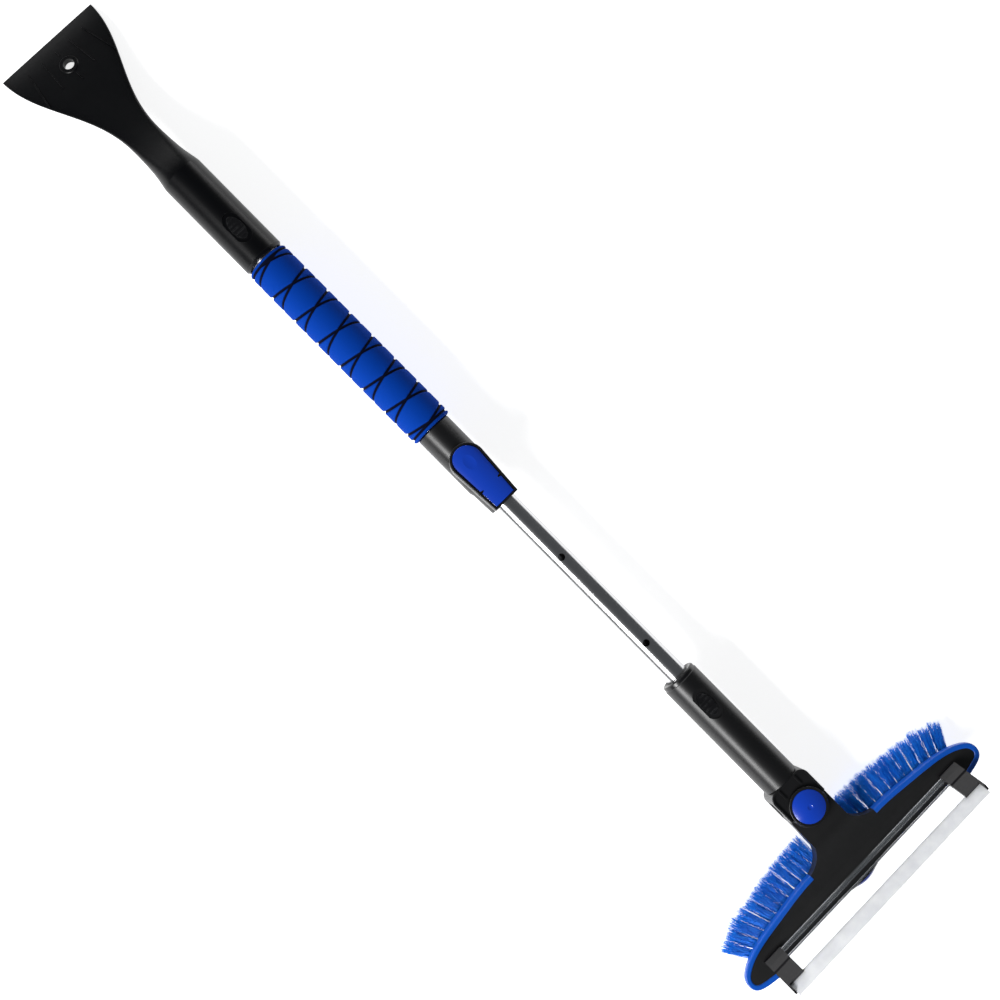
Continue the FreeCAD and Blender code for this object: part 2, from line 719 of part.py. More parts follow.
def release_lever():
    body = new_body("lever_blank")
    padded(body, "lever_pad", "lever_bottom", "lever_top", draw_teardrop("0"))
    start, axis_z = f"{LEVER_FRONT} - 2*lever_length", "lever_top - lever_crown"
    crown = rod("lever_crown_rod", "X", "2*lever_crown", start, "3*lever_length", z=axis_z)
    blank = overlap("lever_crowned", body, crown)
    doc.recompute()
    shape = blank.Shape
    lowest = val("lever_bottom") + 0.5
    top_edges = [
        edge for edge in shape.Edges
        if edge.BoundBox.ZMin > lowest and edge.BoundBox.ZLength < 3 and edge.Length > 4
    ]
    smooth_top = solid("lever_smooth", shape.makeFillet(0.9, top_edges))
    dish = doc.addObject("Part::Sphere", "lever_thumb_dish")
    dish_x = f"{LEVER_FRONT} - lever_length + lever_round_w/2 + 2"
    bind(dish, Radius="dish_radius")
    bind(dish, Placement__Base__x=dish_x, Placement__Base__z="lever_top - dish_depth + dish_radius")
    pin_bore = "lever_pin_d + 2*run_gap"
    tools = [
        dish,
        rod("lever_pin_bore", "Y", pin_bore, "-housing_od", "2*housing_od", x=LEVER_PIN_X, z="lever_pin_z"),
        rod("lock_pin_seat_bore", "Z", "lock_pin_d", "0", "lever_bottom + lock_pin_seat", x=LOCK_PIN_X),
    ]
    node("release_lever", cut("release_lever_cut", smooth_top, *tools))

    half = "(lever_front_w/2 + lever_gap + saddle_rim)"
    hinge = rod("lever_pin_rod", "Y", "lever_pin_d", f"-{half}", f"2*{half}", x=LEVER_PIN_X, z="lever_pin_z")
    node("lever_pin", hinge)
    foot = "inner_tube_od/2 + free_gap"
    length = f"lever_bottom + lock_pin_seat - ({foot})"
    node("lock_pin", rod("lock_pin_rod", "Z", "lock_pin_d", foot, length, x=LOCK_PIN_X))

    x, low, high = LEVER_FRONT, "lever_floor", "lever_bottom - 0.3"
    points = [
        (f"{x} - 12", low),
        (f"{x} - 7.5", low),
        (f"{x} - 2.4", f"{high} - 0.4"),
        (f"{x} - 0.6", f"{high} - 0.4"),
        (f"{x} - 0.6", high),
        (f"{x} - 2.6", high),
        (f"{x} - 7.7", f"{low} + 0.4"),
        (f"{x} - 12", f"{low} + 0.4"),
    ]
    node("lever_spring", across("lever_spring", "4", points))


def collar_bushing():
    back = f"({HOUSING_MOUTH} - collar_length)"
    inner, outer = "inner_tube_od/2 + run_gap", "collar_od/2"
    points = [(back, inner), (back, outer), (HOUSING_MOUTH, outer), (HOUSING_MOUTH, inner)]
    node("collar_bushing", turned("collar_bushing", points))


# ---- sliding tube and head sleeve ---------------------------------------------------------------------------


def inner_tube():
    start = f"({HOUSING_MOUTH} - inner_overlap)"
    end = "(-knuckle_length - sleeve_floor)"
    body = tube("inner_tube_turning", start, end, "inner_tube_od")
    holes = [
        rod(f"index_hole_{k}", "Z", "lock_hole_d", "0", "inner_tube_od", x=f"{LOCK_HOLE_X} + {k}*hole_pitch")
        for k in range(3)
    ]
    holes.append(rod("inner_snap_hole", "Z", "snap_pin_d + 2*free_gap", "0", "inner_tube_od", x=HEAD_BUTTON_X))
    node("inner_tube", cut("inner_tube_cut", body, *holes))

    back = f"({start} - end_wall)"
    inner, outer = "inner_tube_od/2", "outer_tube_od/2 - tube_wall - run_gap"
    points = [
        (back, "0"),
        (back, f"{outer} - 0.6"),
        (f"{back} + 0.6", outer),
        (f"{start} + bush_length", outer),
        (f"{start} + bush_length", inner),
        (start, inner),
        (start, "0"),
    ]
    node("inner_end_bush", turned("inner_end_bush", points))


def head_sleeve():
    out, bore = "sleeve_od/2", "inner_tube_od/2"
    ring = f"({SLEEVE_MOUTH} + end_ring_length)"
    floor = "(-knuckle_length - sleeve_floor)"
    spigot = "(-knuckle_length - spigot_length)"
    points = [
        (ring, bore),
        (ring, f"{out} - 0.5"),
        (f"{ring} + 0.5", out),
        ("-knuckle_length - 0.5", out),
        ("-knuckle_length", f"{out} - 0.5"),
        ("-knuckle_length", "spigot_d/2"),
        (spigot, "spigot_d/2"),
        (spigot, "0"),
        (floor, "0"),
        (floor, bore),
    ]
    body = turned("sleeve_turning", points)
    tools = oval_tools("head_oval", HEAD_BUTTON_X, out)
    start = "-knuckle_length - core_length"
    tools += core_slots("sleeve_core", start, "core_length + 1", "inner_tube_od + 4.4", f"2*({out} - core_wall)")
    node("head_sleeve", cut("head_sleeve_cut", body, *tools))

    points = [
        (ring, "inner_tube_od/2 + free_gap"),
        (ring, "end_ring_od/2"),
        (f"{SLEEVE_MOUTH} + 1.2", "end_ring_od/2"),
        (SLEEVE_MOUTH, "end_ring_od/2 - 1"),
        (SLEEVE_MOUTH, "end_ring_mouth/2"),
        (f"{SLEEVE_MOUTH} + 2.6", "inner_tube_od/2 + free_gap"),
    ]
    node("sleeve_end_ring", turned("sleeve_end_ring", points))


# ---- knuckle ------------------------------------------------------------------------------------------------


def knuckle_plan(inset, disc):
    """The knuckle's plan: a block with rounded rear corners that ends in a disc about the swivel axis."""
    half, back = val("knuckle_w") / 2 - inset, -val("knuckle_length") + inset
    corner = max(0.5, val("knuckle_corner") - inset)
    box = Part.makeBox(abs(back), 2 * half, 1, Vector(back, -half, 0))
    upright = [e for e in box.Edges if e.BoundBox.ZLength > 0.5 and abs(e.BoundBox.XMax - back) < 1e-6]
    box = box.makeFillet(corner, upright)
    return box.fuse(Part.makeCylinder(disc / 2, 1, Vector(0, 0, 0))).removeSplitter()


def tall(shape, low, high):
    """Stretch a plan solid of height 1 to stand between two heights."""
    bottom = [f for f in shape.Faces if abs(f.BoundBox.ZMax) < 1e-6][0]
    slab = bottom.copy()
    slab.translate(Vector(0, 0, low))
    return slab.extrude(Vector(0, 0, high - low))


def spline_prism(root, tip, low, high, side_gap):
    """A solid with straight teeth: the lock gear, or the space for it when side_gap widens the teeth."""
    pitch = 2 * math.pi / GEAR_TEETH
    points = []
    for k in range(GEAR_TEETH):
        for radius, turn in ((root, -0.30), (tip, -0.17), (tip, 0.17), (root, 0.30)):
            angle = pitch * (k + turn) + math.copysign(side_gap / radius, turn)
            points.append(Vector(radius * math.cos(angle), radius * math.sin(angle), 0))
    return prism(Part.makePolygon(points + points[:1]), low, high)


def pivot_ring(low, high, grow):
    outer = val("pivot_ring_out") / 2 + grow
    inner = val("pivot_ring_in") / 2 - grow
    ring = Part.makeCylinder(outer, high - low, Vector(0, 0, low))
    return ring.cut(Part.makeCylinder(inner, high - low, Vector(0, 0, low)))


def knuckle():
    bottom, fork_low, fork_high = val("knuckle_bottom"), val("fork_low"), val("fork_high")
    gap, deep = val("run_gap"), val("pivot_ring_deep")
    base = tall(knuckle_plan(0, val("knuckle_w") - 0.4), bottom, fork_low)
    rear = tall(knuckle_plan(0, val("knuckle_w") - 0.4), fork_low, fork_high)
    front = Part.makeBox(100, 100, 50, Vector(-val("fork_back"), -50, -25))
    base = base.fuse(rear.cut(front)).removeSplitter()
    low_edges = [e for e in base.Edges if level(e, bottom)]
    base = base.makeFillet(2.0, low_edges)
    base = base.fuse(pivot_ring(fork_low, fork_low + deep, 0))
    root, tip = val("gear_root_d") / 2 + 0.1, val("gear_tip_d") / 2 + 0.1
    base = base.cut(spline_prism(root, tip, val("gear_pocket_low"), fork_low + 1, 0.1))
    base_shape = solid("knuckle_base_shape", base)
    spigot = rod("knuckle_spigot", "X", "spigot_d", "-knuckle_length - spigot_length", "spigot_length")
    screws, bores = [], []
    for k, side in enumerate((1, -1)):
        x, y = "-knuckle_screw_x", f"({side})*knuckle_screw_y"
        low, length = "knuckle_bottom + 1", "knuckle_floor - 2 - knuckle_bottom"
        shank = rod(f"knuckle_screw_{k}", "Z", "screw_d", low, length, x=x, y=y)
        head = rod(f"knuckle_screw_head_{k}", "Z", "screw_head_d", low, "screw_head_t", x=x, y=y)
        socket = rod(f"knuckle_screw_drive_{k}", "Z", "1.8", "knuckle_bottom", "2.2", x=x, y=y)
        screws.append(cut(f"knuckle_screw_whole_{k}", join(f"knuckle_screw_body_{k}", shank, head), socket))
        bores.append(rod(f"knuckle_bore_{k}", "Z", "screw_d", "-30", "knuckle_floor - 1 + 30", x=x, y=y))
        sink = "30 + knuckle_bottom + 1 + screw_head_t"
        bores.append(rod(f"knuckle_sink_{k}", "Z", "screw_head_d", "-30", sink, x=x, y=y))
    node("knuckle_base", cut("knuckle_base_cut", join("knuckle_base_whole", base_shape, spigot), *bores))
    node("knuckle_screws", join("knuckle_screws_set", *screws))

    floor, lip, wall = val("knuckle_floor"), val("knuckle_lip"), val("lip_thick")
    boss_top, boss_r = val("boss_top"), val("boss_d") / 2
    top = tall(knuckle_plan(0, val("boss_d")), fork_high, lip)
    top = top.makeFillet(0.7, [e for e in top.Edges if level(e, lip)])
    pocket = tall(knuckle_plan(wall, val("boss_d") - 2 * wall), floor, lip + 5)
    boss = Part.makeCone(boss_r, boss_r - 0.9, boss_top - fork_high, Vector(0, 0, fork_high))
    boss = boss.makeFillet(0.6, [e for e in boss.Edges if level(e, boss_top)])
    top = top.cut(pocket).fuse(boss)
    for side in (1, -1):
        back = -val("knuckle_length") + 0.8
        rib = Part.makeBox(10.5, 1.3, lip - 0.3 - floor + 1, Vector(back, side * val("rib_y") - 0.65, floor - 1))
        top = top.fuse(rib)
    top = top.fuse(pivot_ring(fork_high - deep, fork_high, 0))
    recess = Part.makeCylinder(val("pivot_button_d") / 2 + 0.3, 20, Vector(0, 0, val("boss_floor")))
    recess = recess.fuse(Part.makeCylinder(val("stem_d") / 2 + gap, 40, Vector(0, 0, -20)))
    top = top.cut(recess).removeSplitter()
    drill = []
    for k, side in enumerate((1, -1)):
        y = f"({side})*knuckle_screw_y"
        drill.append(rod(f"knuckle_top_bore_{k}", "Z", "screw_d", "0", "knuckle_floor - 1", x="-knuckle_screw_x", y=y))
    node("knuckle_top", cut("knuckle_top_cut", solid("knuckle_top_shape", top), *drill))


def pivot_lock():
    low, edge, dome = val("pivot_button_low"), val("pivot_button_edge"), val("pivot_button_dome")
    radius, stem = val("pivot_button_d") / 2, val("stem_d") / 2
    gear_high = val("fork_low")
    corners = ((0, gear_high), (stem, gear_high), (stem, low), (radius, low), (radius, edge))
    profile = [Vector(x, 0, z) for x, z in corners]
    sphere = (radius**2 + dome**2) / (2 * dome)
    half_turn = math.asin(radius / sphere) / 2
    middle = Vector(sphere * math.sin(half_turn), 0, edge + dome - sphere + sphere * math.cos(half_turn))
    shoulder = Part.Arc(Vector(radius, 0, edge), middle, Vector(0, 0, edge + dome))
    axis = Part.LineSegment(Vector(0, 0, edge + dome), profile[0]).toShape()
    wire = Part.Wire(chain(profile) + [shoulder.toShape(), axis])
    button = Part.Face(wire).revolve(Vector(0, 0, 0), Vector(0, 0, 1), 360)
    screw_bore = Part.makeCylinder(val("screw_d") / 2, 12, Vector(0, 0, gear_high))
    mouth, deep = val("pivot_dimple_d") / 2, val("pivot_dimple_deep")
    ball = (mouth**2 + deep**2) / (2 * deep)
    dimple = Part.makeSphere(ball, Vector(0, 0, edge + dome - deep + ball))
    node("pivot_button", solid("pivot_button_shape", button.cut(screw_bore).cut(dimple)))

    gear = spline_prism(val("gear_root_d") / 2, val("gear_tip_d") / 2, val("gear_low"), gear_high, 0)
    hollow = Part.makeCylinder(val("gear_hollow_d") / 2, 20, Vector(0, 0, val("gear_hollow_high") - 20))
    gear = gear.cut(hollow).cut(Part.makeCylinder(val("screw_d") / 2, 20, Vector(0, 0, -15)))
    node("lock_gear", solid("lock_gear_shape", gear))

    head_high = val("gear_hollow_high")
    head = Part.makeCylinder(val("screw_head_d") / 2, 1.8, Vector(0, 0, head_high - 1.8))
    shank = Part.makeCylinder(val("screw_d") / 2, 11, Vector(0, 0, head_high - 0.5))
    slot = Part.makeBox(8, 0.8, 1.6, Vector(-4, -0.4, head_high - 2.6))
    node("pivot_screw", solid("pivot_screw_shape", head.fuse(shank).cut(slot)))

    wire_r, coil_r = val("spring_wire") / 2, val("spring_d") / 2
    bottom = val("gear_pocket_low") + wire_r
    height = val("gear_hollow_high") - wire_r - bottom
    helix = Part.makeHelix(height / 3, height, coil_r)
    helix.translate(Vector(0, 0, bottom))
    section = []
    for k in range(8):
        turn = 2 * math.pi * (k + 0.5) / 8
        section.append(Vector(coil_r + wire_r * 0.96 * math.cos(turn), 0, bottom + wire_r * 0.96 * math.sin(turn)))
    outline = Part.makePolygon(section + section[:1])
    coil = Part.Wire(helix.Edges).makePipeShell([outline], True, True)
    node("pivot_spring", solid("pivot_spring_shape", coil))


# ---- brush head ---------------------------------------------------------------------------------------------

# the wing's outer edge as (share of the way from the flare to the tip along X, share of the half width)
WING = ((0.025, 0.40), (0.11, 0.55), (0.20, 0.70), (0.345, 0.845), (0.54, 0.94), (0.78, 0.99))


def wing_points():
    """Corners of the wing's front edge, its tip and the turn to the rear edge, on the +Y side."""
    flare, tip, back = val("flare_x"), val("head_tip_x"), val("head_back")
    half = val("head_width") / 2
    points = [Vector(flare, val("flare_y"), 0)]
    points += [Vector(flare + (tip - flare) * a, half * b, 0) for a, b in WING]
    points.append(Vector(tip + (back - tip) * 0.25, half * 0.985, 0))
    points.append(Vector(tip + (back - tip) * 0.72, half * 0.92, 0))
    points.append(Vector(back, half * 0.80, 0))
    return points


def wing_offset(inset):
    """The wing's edge moved inwards, square to the edge."""
    curve = smooth(wing_points())
    moved = []
    for k in range(25):
        at = curve.FirstParameter + (curve.LastParameter - curve.FirstParameter) * k / 24
        tangent = curve.tangent(at)[0]
        moved.append(curve.value(at) + Vector(tangent.y, -tangent.x, 0) * inset)
    if not inset:
        return curve
    return smooth(moved)


def curve_points(curve, count=40):
    return curve.discretize(count)


def head_plan(inset, wing_inset):
    """The head's plan without the tongue, as a closed wire; inset moves the neck and the rear edge inwards."""
    half, start = val("knuckle_w") / 2 - inset, val("neck_start") + inset
    straight = val("neck_straight")
    wing = wing_offset(wing_inset)
    first, last = wing.value(wing.FirstParameter), wing.value(wing.LastParameter)
    back = val("head_back") - inset
    bend = Part.Arc(
        Vector(straight, half, 0),
        Vector(straight + (first.x - straight) * 0.62, half + (first.y - half) * 0.34, 0),
        first,
    )
    corner = Vector(back, last.y, 0)
    side = chain([Vector(start, half, 0), Vector(straight, half, 0)]) + [bend.toShape(), wing.toShape()]
    side += chain([last, corner])
    flip = FreeCAD.Matrix()
    flip.A22 = -1
    other = [edge.transformGeometry(flip) for edge in side]
    ends = chain([Vector(start, -half, 0), Vector(start, half, 0)])
    ends += chain([corner, Vector(back, -last.y, 0)])
    edges = Part.sortEdges(side + other + ends)
    return Part.Wire(edges[0])


def top_profile(shift):
    """The head's upper surface as (x, z): level at the neck, then a hollow slope down to the flat plate."""
    high, plate = val("tongue_high"), val("plate_z")
    start, back = val("neck_start"), val("squeegee_x") - 4.8
    heights = ((0.0, 1.0), (0.16, 0.955), (0.36, 0.66), (0.58, 0.30), (0.80, 0.07), (1.0, 0.0))
    points = [Vector(start + (back - start) * a, 0, plate + (high - plate) * b + shift) for a, b in heights]
    return points


def under_top(shift, low):
    """A wide solid below the head's upper surface moved by shift."""
    points = top_profile(shift)
    far = Vector(val("head_back") + 30, 0, points[-1].z)
    near = Vector(-10, 0, points[0].z)
    curve = Part.BSplineCurve()
    curve.interpolate(points, InitialTangent=Vector(1, 0, 0), FinalTangent=Vector(1, 0, 0))
    rest = chain([points[-1], far, Vector(far.x, 0, low), Vector(near.x, 0, low), near, points[0]])
    half = val("head_width") / 2 + 20
    face = Part.Face(Part.Wire([curve.toShape()] + rest))
    face.translate(Vector(0, -half, 0))
    return face.extrude(Vector(0, 2 * half, 0))


def rim_shape(side):
    """The soft rim round one wing, from the flare to the squeegee."""
    outer, inner = wing_offset(0), wing_offset(val("rim_width"))
    start = chain([inner.value(inner.FirstParameter), outer.value(outer.FirstParameter)])
    end = chain([outer.value(outer.LastParameter), inner.value(inner.LastParameter)])
    wire = Part.Wire(Part.sortEdges([outer.toShape(), inner.toShape()] + start + end)[0])
    rim = prism(wire, val("skirt_low"), 20).common(under_top(val("rim_proud"), -30))
    top = [e for e in rim.Edges if e.Length > 60 and e.BoundBox.ZMax > val("plate_z")]
    rim = rim.makeFillet(1.3, top)
    under_clip = Part.makeBox(60, val("clip_outer") + 0.3, 30, Vector(val("squeegee_x") - 5, 0, val("plate_z")))
    rim = rim.cut(under_clip)
    if side < 0:
        rim = rim.mirror(Vector(0, 0, 0), Vector(0, 1, 0))
    return rim


def block_screw_places():
    return [(val("block_screw_x"), s * val(y)) for y in ("block_screw_in", "block_screw_out") for s in (1, -1)]


def squeegee_screw_places():
    return [(val("squeegee_screw_x"), k * val("squeegee_screw_y")) for k in (-1, 0, 1)]


def head_cover():
    shell = prism(head_plan(0, 0), val("skirt_low"), 20).common(under_top(0, -30))
    wall = val("skirt_wall")
    cavity = prism(head_plan(wall, val("rim_width") + wall), -30, 20).common(under_top(-val("plate_thick"), -40))
    shell = shell.cut(cavity)
    rims = [rim_shape(1), rim_shape(-1)]
    ring = []
    for side in (1, -1):
        outer, inner = wing_offset(-2), wing_offset(val("rim_width"))
        start = chain([inner.value(inner.FirstParameter), outer.value(outer.FirstParameter)])
        end = chain([outer.value(outer.LastParameter), inner.value(inner.LastParameter)])
        wire = Part.Wire(Part.sortEdges([outer.toShape(), inner.toShape()] + start + end)[0])
        tool = prism(wire, -30, 30)
        ring.append(tool if side > 0 else tool.mirror(Vector(0, 0, 0), Vector(0, 1, 0)))
    shell = shell.cut(ring[0]).cut(ring[1])
    low, high, half = val("tongue_low"), val("tongue_high"), val("knuckle_w") / 2
    tongue = Part.makeCylinder(half, high - low, Vector(0, 0, low))
    tongue = tongue.fuse(Part.makeBox(val("neck_start") + 4, 2 * half, high - low, Vector(0, -half, low)))
    gap, deep = val("run_gap"), val("pivot_ring_deep")
    tongue = tongue.fuse(shell).removeSplitter()
    bore = Part.makeCylinder(val("stem_d") / 2 + 0.6, 40, Vector(0, 0, -20))
    root, tip = val("gear_root_d") / 2 + 0.1, val("gear_tip_d") / 2 + 0.1
    cover = tongue.cut(bore).cut(spline_prism(root, tip, low - 1, val("gear_recess_high"), 0.1))
    cover = cover.cut(pivot_ring(low - 1, low + deep + 0.1, gap))
    cover = cover.cut(pivot_ring(high - deep - 0.1, high + 1, gap))
    for x, y in block_screw_places():
        foot = Vector(x, y, val("block_high"))
        post = Part.makeCylinder(3.6, 20, foot).common(under_top(-0.5, -40))
        thread = Part.makeCylinder(val("screw_d") / 2, 2.7, foot - Vector(0, 0, 0.1))
        cover = cover.fuse(post).cut(thread)
    for x, y in squeegee_screw_places():
        cover = cover.cut(Part.makeCylinder(val("screw_d") / 2, 10, Vector(x, y, val("plate_z") - 9)))
    node("head_cover", solid("head_cover_shape", cover))
    node("rim_trim_left", solid("rim_left_shape", rims[0]))
    node("rim_trim_right", solid("rim_right_shape", rims[1]))


def tuft_place(k, lift):
    """Root, direction and plan length of tuft k on the +Y side; lift counts rows up from the lowest."""
    first, last = val("tuft_first"), val("tuft_last")
    share = k / (TUFTS_PER_SIDE - 1)
    y = first + (last - first) * share
    front = wing_offset(val("rim_width") + val("skirt_wall"))
    near = min(curve_points(front, 60), key=lambda p: abs(p.y - y) + (100 if p.x > val("head_tip_x") else 0))
    x = max(near.x, val("flare_x") + 7)
    fan = math.radians(3 + val("tuft_fan") * share**1.6)
    plan = val("tuft_length") - val("tuft_shorten") * share
    root_z = val("tuft_low") + lift * val("tuft_row_step")
    tip_z = -val("axis_height") + val("tuft_thick") * 0.5 + lift * val("tuft_row_step") * 1.1
    root = Vector(x + 3.5 - lift * 2.4, y, root_z)
    tip = Vector(x - plan * math.cos(fan), y + plan * math.sin(fan), tip_z)
    return root, tip


def tuft_shape(k, lift, side):
    root, tip = tuft_place(k, lift)
    along = (tip - root).normalize()
    wide = along.cross(Vector(0, 0, 1)).normalize()
    rise = wide.cross(along).normalize()
    t = val("tuft_thick") / 2
    wires = []
    for centre, width in ((root, val("tuft_root_w") / 2), (tip, val("tuft_tip_w") / 2)):
        signs = ((1, 1), (-1, 1), (-1, -1), (1, -1))
        corners = [centre + wide * (a * width) + rise * (b * t) for a, b in signs]
        wires.append(Part.makePolygon(corners + corners[:1]))
    shape = Part.makeLoft(wires, True, True)
    floor = Part.makeBox(300, 400, 50, Vector(-50, -20, -val("axis_height")))
    shape = shape.common(floor)
    if side < 0:
        shape = shape.mirror(Vector(0, 0, 0), Vector(0, 1, 0))
    return shape


def brush():
    inset = val("skirt_wall") + 0.4
    low, high, half = val("block_low"), val("block_high"), val("block_half")
    plan = prism(head_plan(inset, inset + val("rim_width")), low, high)
    bar = Part.makeBox(60, 2 * half, 50, Vector(val("flare_x") + 6, -half, -40))
    body = plan.common(bar)
    face = val("block_face")
    front = val("flare_x") + 6
    corners = ((0, low), (front + face, low), (front, low + face), (0, low + face), (0, low))
    cut_tool = Part.Face(Part.makePolygon([Vector(x, 0, z) for x, z in corners]))
    cut_tool.translate(Vector(0, -half - 5, 0))
    body = body.cut(cut_tool.extrude(Vector(0, 2 * half + 10, 0)))
    rows = {"bristles_left": [], "bristles_right": [], "support_tufts": []}
    for side, name in ((1, "bristles_left"), (-1, "bristles_right")):
        for k in range(TUFTS_PER_SIDE):
            for lift in (0, 1):
                carries = lift == 0 and k in LOADED_TUFTS
                rows["support_tufts" if carries else name].append(tuft_shape(k, lift, side))
    for tufts in rows.values():
        for tuft in tufts:
            body = body.cut(tuft)
    room_low = val("plate_z") - val("plate_thick") - 2.6
    for x, y in squeegee_screw_places():
        body = body.cut(Part.makeCylinder(val("screw_head_d") / 2 + 0.6, 20, Vector(x, y, room_low)))
    screws = []
    for x, y in block_screw_places():
        seat = Vector(x, y, low + 0.1)
        head = Part.makeCylinder(val("screw_head_d") / 2, val("screw_head_t"), seat)
        shank = Part.makeCylinder(val("screw_d") / 2, high + 2.5 - low, seat)
        slot = Part.makeBox(8, 0.8, 1.1, seat + Vector(-4, -0.4, 0))
        body = body.cut(head).cut(shank)
        screws.append(head.fuse(shank).cut(slot))
    node("brush_block", solid("brush_block_shape", body))
    node("block_screws", solid("block_screws_shape", Part.makeCompound(screws)))
    for name, tufts in rows.items():
        node(name, solid(name + "_shape", Part.makeCompound(tufts)))


# ---- squeegee -----------------------------------------------------------------------------------------------

def slope(s, n):
    """A point of the squeegee's section: s up along its face, n square to it."""
    x = f"squeegee_x + ({s})*cos(squeegee_tilt) - ({n})*sin(squeegee_tilt)"
    z = f"squeegee_z + ({s})*sin(squeegee_tilt) + ({n})*cos(squeegee_tilt)"
    return x, z


def holder_profile():
    t, slit, length = "holder_half_t", "rubber_half_t", "holder_length"
    return [
        ("squeegee_x - 2.6", "plate_z"),
        ("head_back - 0.5", "plate_z"),
        ("head_back - 0.5", "plate_z + 3"),
        slope(length, f"-{t}"),
        slope(length, f"-{slit}"),
        slope("11", f"-{slit}"),
        slope("11", slit),
        slope(length, slit),
        slope(length, t),
        slope("10.6", t),
        slope("10.4", f"{t} - 0.6"),
        slope("9.3", f"{t} - 0.6"),
        slope("9.1", t),
        slope("8.4", t),
        ("squeegee_x + 0.2", "plate_z + 1.6"),
        ("squeegee_x - 2.6", "plate_z + 1.6"),
    ]


def rubber_profile():
    slit, tip = "rubber_half_t", "rubber_tip_t"
    return [
        slope("11", f"-{slit}"),
        slope("holder_length + 2", f"-{slit}"),
        slope("rubber_reach", f"-{tip}"),
        slope("rubber_reach", tip),
        slope("holder_length + 2", slit),
        slope("11", slit),
    ]


def squeegee():
    holder = across("squeegee_holder_profiled", "holder_half", holder_profile())
    beads = []
    x, z = slope("8.7", "holder_half_t - 0.2")
    for name, size, x, z in (("bead_low", "2.2", "squeegee_x - 1.3", "plate_z + 1.7"), ("bead_high", "1.4", x, z)):
        beads.append(rod(name, "Y", size, "-holder_half", "2*holder_half", x=x, z=z))
    screws, bores = [], []
    x, low = "squeegee_screw_x", "plate_z - plate_thick - screw_head_t"
    for k in range(3):
        y = f"({k - 1})*squeegee_screw_y"
        head = rod(f"squeegee_screw_head_{k}", "Z", "screw_head_d", low, "screw_head_t", x=x, y=y)
        length = "screw_head_t + plate_thick + 4"
        shank = rod(f"squeegee_screw_{k}", "Z", "screw_d", low, length, x=x, y=y)
        screws.append(join(f"squeegee_screw_whole_{k}", head, shank))
        bores.append(rod(f"squeegee_bore_{k}", "Z", "screw_d", "plate_z - 1", "5", x=x, y=y))
    node("squeegee_holder", cut("squeegee_holder_cut", join("squeegee_holder_full", holder, *beads), *bores))
    node("squeegee_screws", join("squeegee_screws_set", *screws))
    node("squeegee_blade", across("squeegee_blade", "squeegee_half", rubber_profile()))


def clip(label, side):
    """A moulded end clip that wraps one end of the squeegee and closes it with a thin wall."""
    wall, t = "clip_wall", "holder_half_t"
    outside = [
        ("squeegee_x - 4.4", "plate_z"),
        ("head_back + 1.2", "plate_z"),
        ("head_back + 1.2", "plate_z + 2"),
        slope("holder_length + 1.2", f"-{t} - {wall}"),
        slope("holder_length + 1.2", f"{t} + {wall}"),
        slope("13", f"{t} + {wall}"),
        slope("11.5", f"{t} + {wall} + 1"),
        slope("5.5", f"{t} + {wall} + 1"),
        ("squeegee_x - 4.4", "plate_z + 4.2"),
    ]
    end = [
        slope("12", f"-{t} - {wall}"),
        slope("clip_end", f"-{t} - {wall}"),
        slope("clip_end + 2", "0"),
        slope("clip_end", f"{t} + {wall}"),
        slope("12", f"{t} + {wall}"),
    ]
    shapes = []
    for profile, low, high in ((outside, "clip_inner", "clip_outer"), (end, "squeegee_half", "clip_outer")):
        corners = [Vector(val(x), val(low), val(z)) for x, z in profile]
        face = Part.Face(Part.makePolygon(corners + corners[:1]))
        shapes.append(face.extrude(Vector(0, val(high) - val(low), 0)))
    shape = shapes[0].fuse(shapes[1]).removeSplitter()
    inner = [Vector(val(x), 0, val(z)) for x, z in holder_profile()]
    holder = Part.Face(Part.makePolygon(inner + inner[:1])).extrude(Vector(0, val("holder_half"), 0))
    rubber = [Vector(val(x), 0, val(z)) for x, z in rubber_profile()]
    rubber = Part.Face(Part.makePolygon(rubber + rubber[:1])).extrude(Vector(0, val("squeegee_half"), 0))
    x, z = slope("8.7", "holder_half_t - 0.2")
    for radius, px, pz in ((1.1, "squeegee_x - 1.3", "plate_z + 1.7"), (0.7, x, z)):
        bead = Part.makeCylinder(radius, val("holder_half"), Vector(val(px), 0, val(pz)), Vector(0, 1, 0))
        shape = shape.cut(bead)
    shape = shape.cut(holder).cut(rubber)
    if side < 0:
        shape = shape.mirror(Vector(0, 0, 0), Vector(0, 1, 0))
    node(label, solid(label + "_shape", shape))


# ---- the whole ----------------------------------------------------------------------------------------------

handle_tube()
foam_grip()
hole_centre, hole_axis = ice_scraper()
oval_button("scraper_release_button", SCRAPER_BUTTON_X, "socket_od/2")
snap_parts("scraper", SCRAPER_BUTTON_X, "socket_od/2", "outer_tube_od/2 - tube_wall")
lock_housing()
collar_bushing()
release_lever()
inner_tube()
head_sleeve()
oval_button("head_release_button", HEAD_BUTTON_X, "sleeve_od/2")
snap_parts("head", HEAD_BUTTON_X, "sleeve_od/2", "inner_tube_od/2 - tube_wall")
knuckle()
pivot_lock()
head_cover()
brush()
squeegee()
clip("clip_left", 1)
clip("clip_right", -1)
doc.recompute()

wrong = [o.Label for o in doc.Objects if set(o.State) & {"Invalid", "Error"}]
for piece in nodes:
    if piece.Shape.isNull() or not piece.Shape.isValid() or not piece.Shape.Solids:
        wrong.append(piece.Label)
if wrong:
    raise ValueError(f"not built: {wrong}")
os.makedirs("parts", exist_ok=True)
for piece in nodes:
    piece.Shape.exportStep(f"parts/{piece.Label}.step")
box = Part.makeCompound([piece.Shape for piece in nodes]).BoundBox
print(f"{len(nodes)} nodes, box {box}")
print("hanging hole", hole_centre, hole_axis, "origin moved by", val(MIDDLE))
